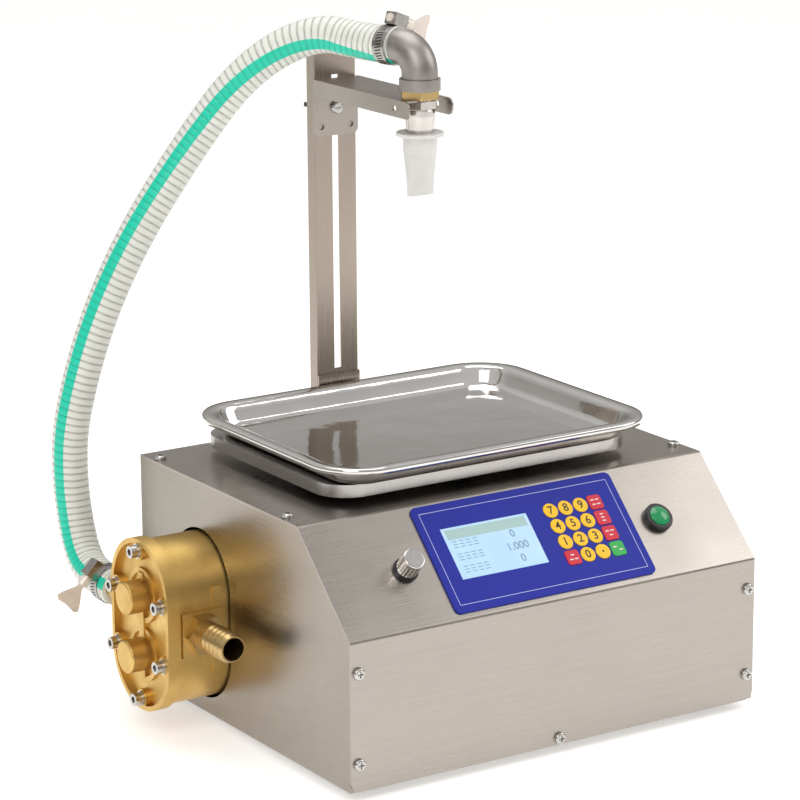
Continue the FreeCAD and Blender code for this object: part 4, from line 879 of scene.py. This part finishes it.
key_marks = {
    "key_red_top": [(-0.0022, 0.0020), (0.0022, 0.0020), (-0.0022, -0.0020), (0.0022, -0.0020)],
    "key_red_middle": [(0, 0.0030), (0, 0), (0, -0.0030)],
    "key_red_low": [(-0.0022, 0.0018), (0.0022, 0.0018), (0, -0.0020)],
    "key_red_left": [(-0.0022, -0.0018), (0.0022, -0.0018), (0, 0.0020)],
    "key_green": [(-0.0022, 0.0015), (0.0022, -0.0015)],
}
for name, spots in key_marks.items():
    paint(key_green if name == "key_green" else key_red, name)
    plates(
        "mark_" + name,
        [(x, y, *mark_size) for x, y in spots],
        0.00008,
        on_slope(name, key_lift),
        ink_pale,
        name,
    )

# ---------------------------------------------------------------------------
# Display
# A backlit liquid-crystal module: pale blue glass, a greenish heading band, and
# grey figures beside plain bars that stand for the labels.
# ---------------------------------------------------------------------------
lcd_glass = even_finish(
    "lcd_backlit_glass",
    "#bfdcf4",
    "#a2c6ec",
    30,
    0.12,
    0.18,
    Emission_Color=rgb("#b9dbfa"),
    Emission_Strength=0.16,
)
lcd_band = even_finish("lcd_band_greenish", "#aecbc8", "#a0bfbd", 12, 0.25, 0.35)
lcd_ink = even_finish("lcd_ink_grey", "#8ba5bd", "#7c96b0", 3, 0.30, 0.40)
paint(lcd_glass, "lcd_module")
glass_lift = 0.00003
plates(
    "lcd_heading_band",
    [(0, 0.0163, 0.074, 0.0085)],
    0.00004,
    on_slope("lcd_module", glass_lift),
    lcd_band,
    "base",
)
row_heights = (0.0075, -0.0035, -0.0145)
label_left = -0.034
label_step = 0.0062
bar_gap = 0.0026
bar_size = (0.0042, 0.0007)
label_marks = [
    (label_left + label_step * column, row + bar, *bar_size)
    for row in row_heights
    for column in range(4)
    for bar in (bar_gap, 0, -bar_gap)
]
plates(
    "lcd_label_marks",
    label_marks,
    0.00004,
    on_slope("lcd_module", glass_lift, 0.0015),
    lcd_ink,
    "base",
)
for index, (row, value) in enumerate(zip(row_heights, ("0", "1.000", "0"))):
    figures(
        "lcd_value_%d" % index,
        value,
        0.0092,
        on_slope("lcd_module", glass_lift + 0.00003, 0.020, row),
        lcd_ink,
        "base",
    )

# ---------------------------------------------------------------------------
# Board and potentiometer, behind the slope
# Green laminate with black parts on it, and a black moulded control.
# ---------------------------------------------------------------------------
laminate = even_finish("laminate_green", "#1d6b3a", "#14522b", 9, 0.35, 0.45)
black_plastic = even_finish("abs_moulded_black", "#1d1d1f", "#121213", 8, 0.26, 0.40, 0.7, 0.1)
paint(laminate, "control_board")
paint(black_plastic, "potentiometer", "power_inlet", "start_button_body")

# ---------------------------------------------------------------------------
# Speed knob
# Fluted zinc, chrome plated.
# ---------------------------------------------------------------------------
chrome = even_finish(
    "zinc_chrome_plated", "#dedcd9", "#c4c2bf", 4, 0.08, 0.16, 0.6, 0.04, Metallic=1.0
)
paint(chrome, "speed_knob")

# ---------------------------------------------------------------------------
# Start button
# A domed green cap of clear-coated plastic in a black ring.
# ---------------------------------------------------------------------------
cap_green = even_finish("button_cap_green", "#0a9a5a", "#067c46", 6, 0.14, 0.20, Coat_Weight=0.5)
paint(cap_green, "start_button_cap")

# ---------------------------------------------------------------------------
# Floor and light
# A pale floor, three soft boxes and a bright sky that dims to the horizon.
# ---------------------------------------------------------------------------
floor_mesh = bpy.data.meshes.new("floor")
floor_mesh.from_pydata([(-6, -6, 0), (6, -6, 0), (6, 6, 0), (-6, 6, 0)], [], [(0, 1, 2, 3)])
floor_paper = even_finish(
    "floor_paper_matte",
    "#f8f7f5",
    "#f4f3f1",
    400,
    0.6,
    0.7,
    Emission_Color=rgb("#ffffff"),
    Emission_Strength=0.45,
)
floor_mesh.materials.append(floor_paper)
floor = bpy.data.objects.new("floor", floor_mesh)
bpy.context.scene.collection.objects.link(floor)

world = bpy.data.worlds.new("studio")
bpy.context.scene.world = world
world.use_nodes = True
world.node_tree.nodes.clear()
tree = world.node_tree
ray = add(tree, "ShaderNodeTexCoord").outputs["Generated"]
split = add(tree, "ShaderNodeSeparateXYZ", {0: ray})
rise = add(
    tree,
    "ShaderNodeMapRange",
    {"Value": split.outputs["Z"], "From Min": -0.05, "From Max": 0.55},
)
sky = add(
    tree,
    "ShaderNodeMix",
    {"Factor": rise.outputs[0], COLOR_A: rgb("#8b837a"), COLOR_B: rgb("#fbfaf8")},
    data_type="RGBA",
)
light = add(tree, "ShaderNodeBackground", {"Color": sky.outputs[COLOR_OUT], "Strength": 0.66})
add(tree, "ShaderNodeOutputWorld", {"Surface": light.outputs[0]})

for name, place, aim, width, power in (
    ("soft_box_left", (-1.6, -1.3, 1.7), (0, 0, 0.2), 1.2, 15),
    ("soft_box_right", (1.9, -0.9, 1.5), (0, 0, 0.2), 1.4, 15),
    ("soft_box_top", (0.1, 0.4, 2.2), (0, 0, 0.2), 1.6, 17),
):
    lamp = bpy.data.lights.new(name, "AREA")
    lamp.size = width
    lamp.energy = power
    holder = bpy.data.objects.new(name, lamp)
    bpy.context.scene.collection.objects.link(holder)
    facing = (Vector(aim) - Vector(place)).to_track_quat("-Z", "Y").to_matrix().to_4x4()
    holder.matrix_world = Matrix.Translation(place) @ facing
bpy.context.scene.view_settings.view_transform = "Standard"
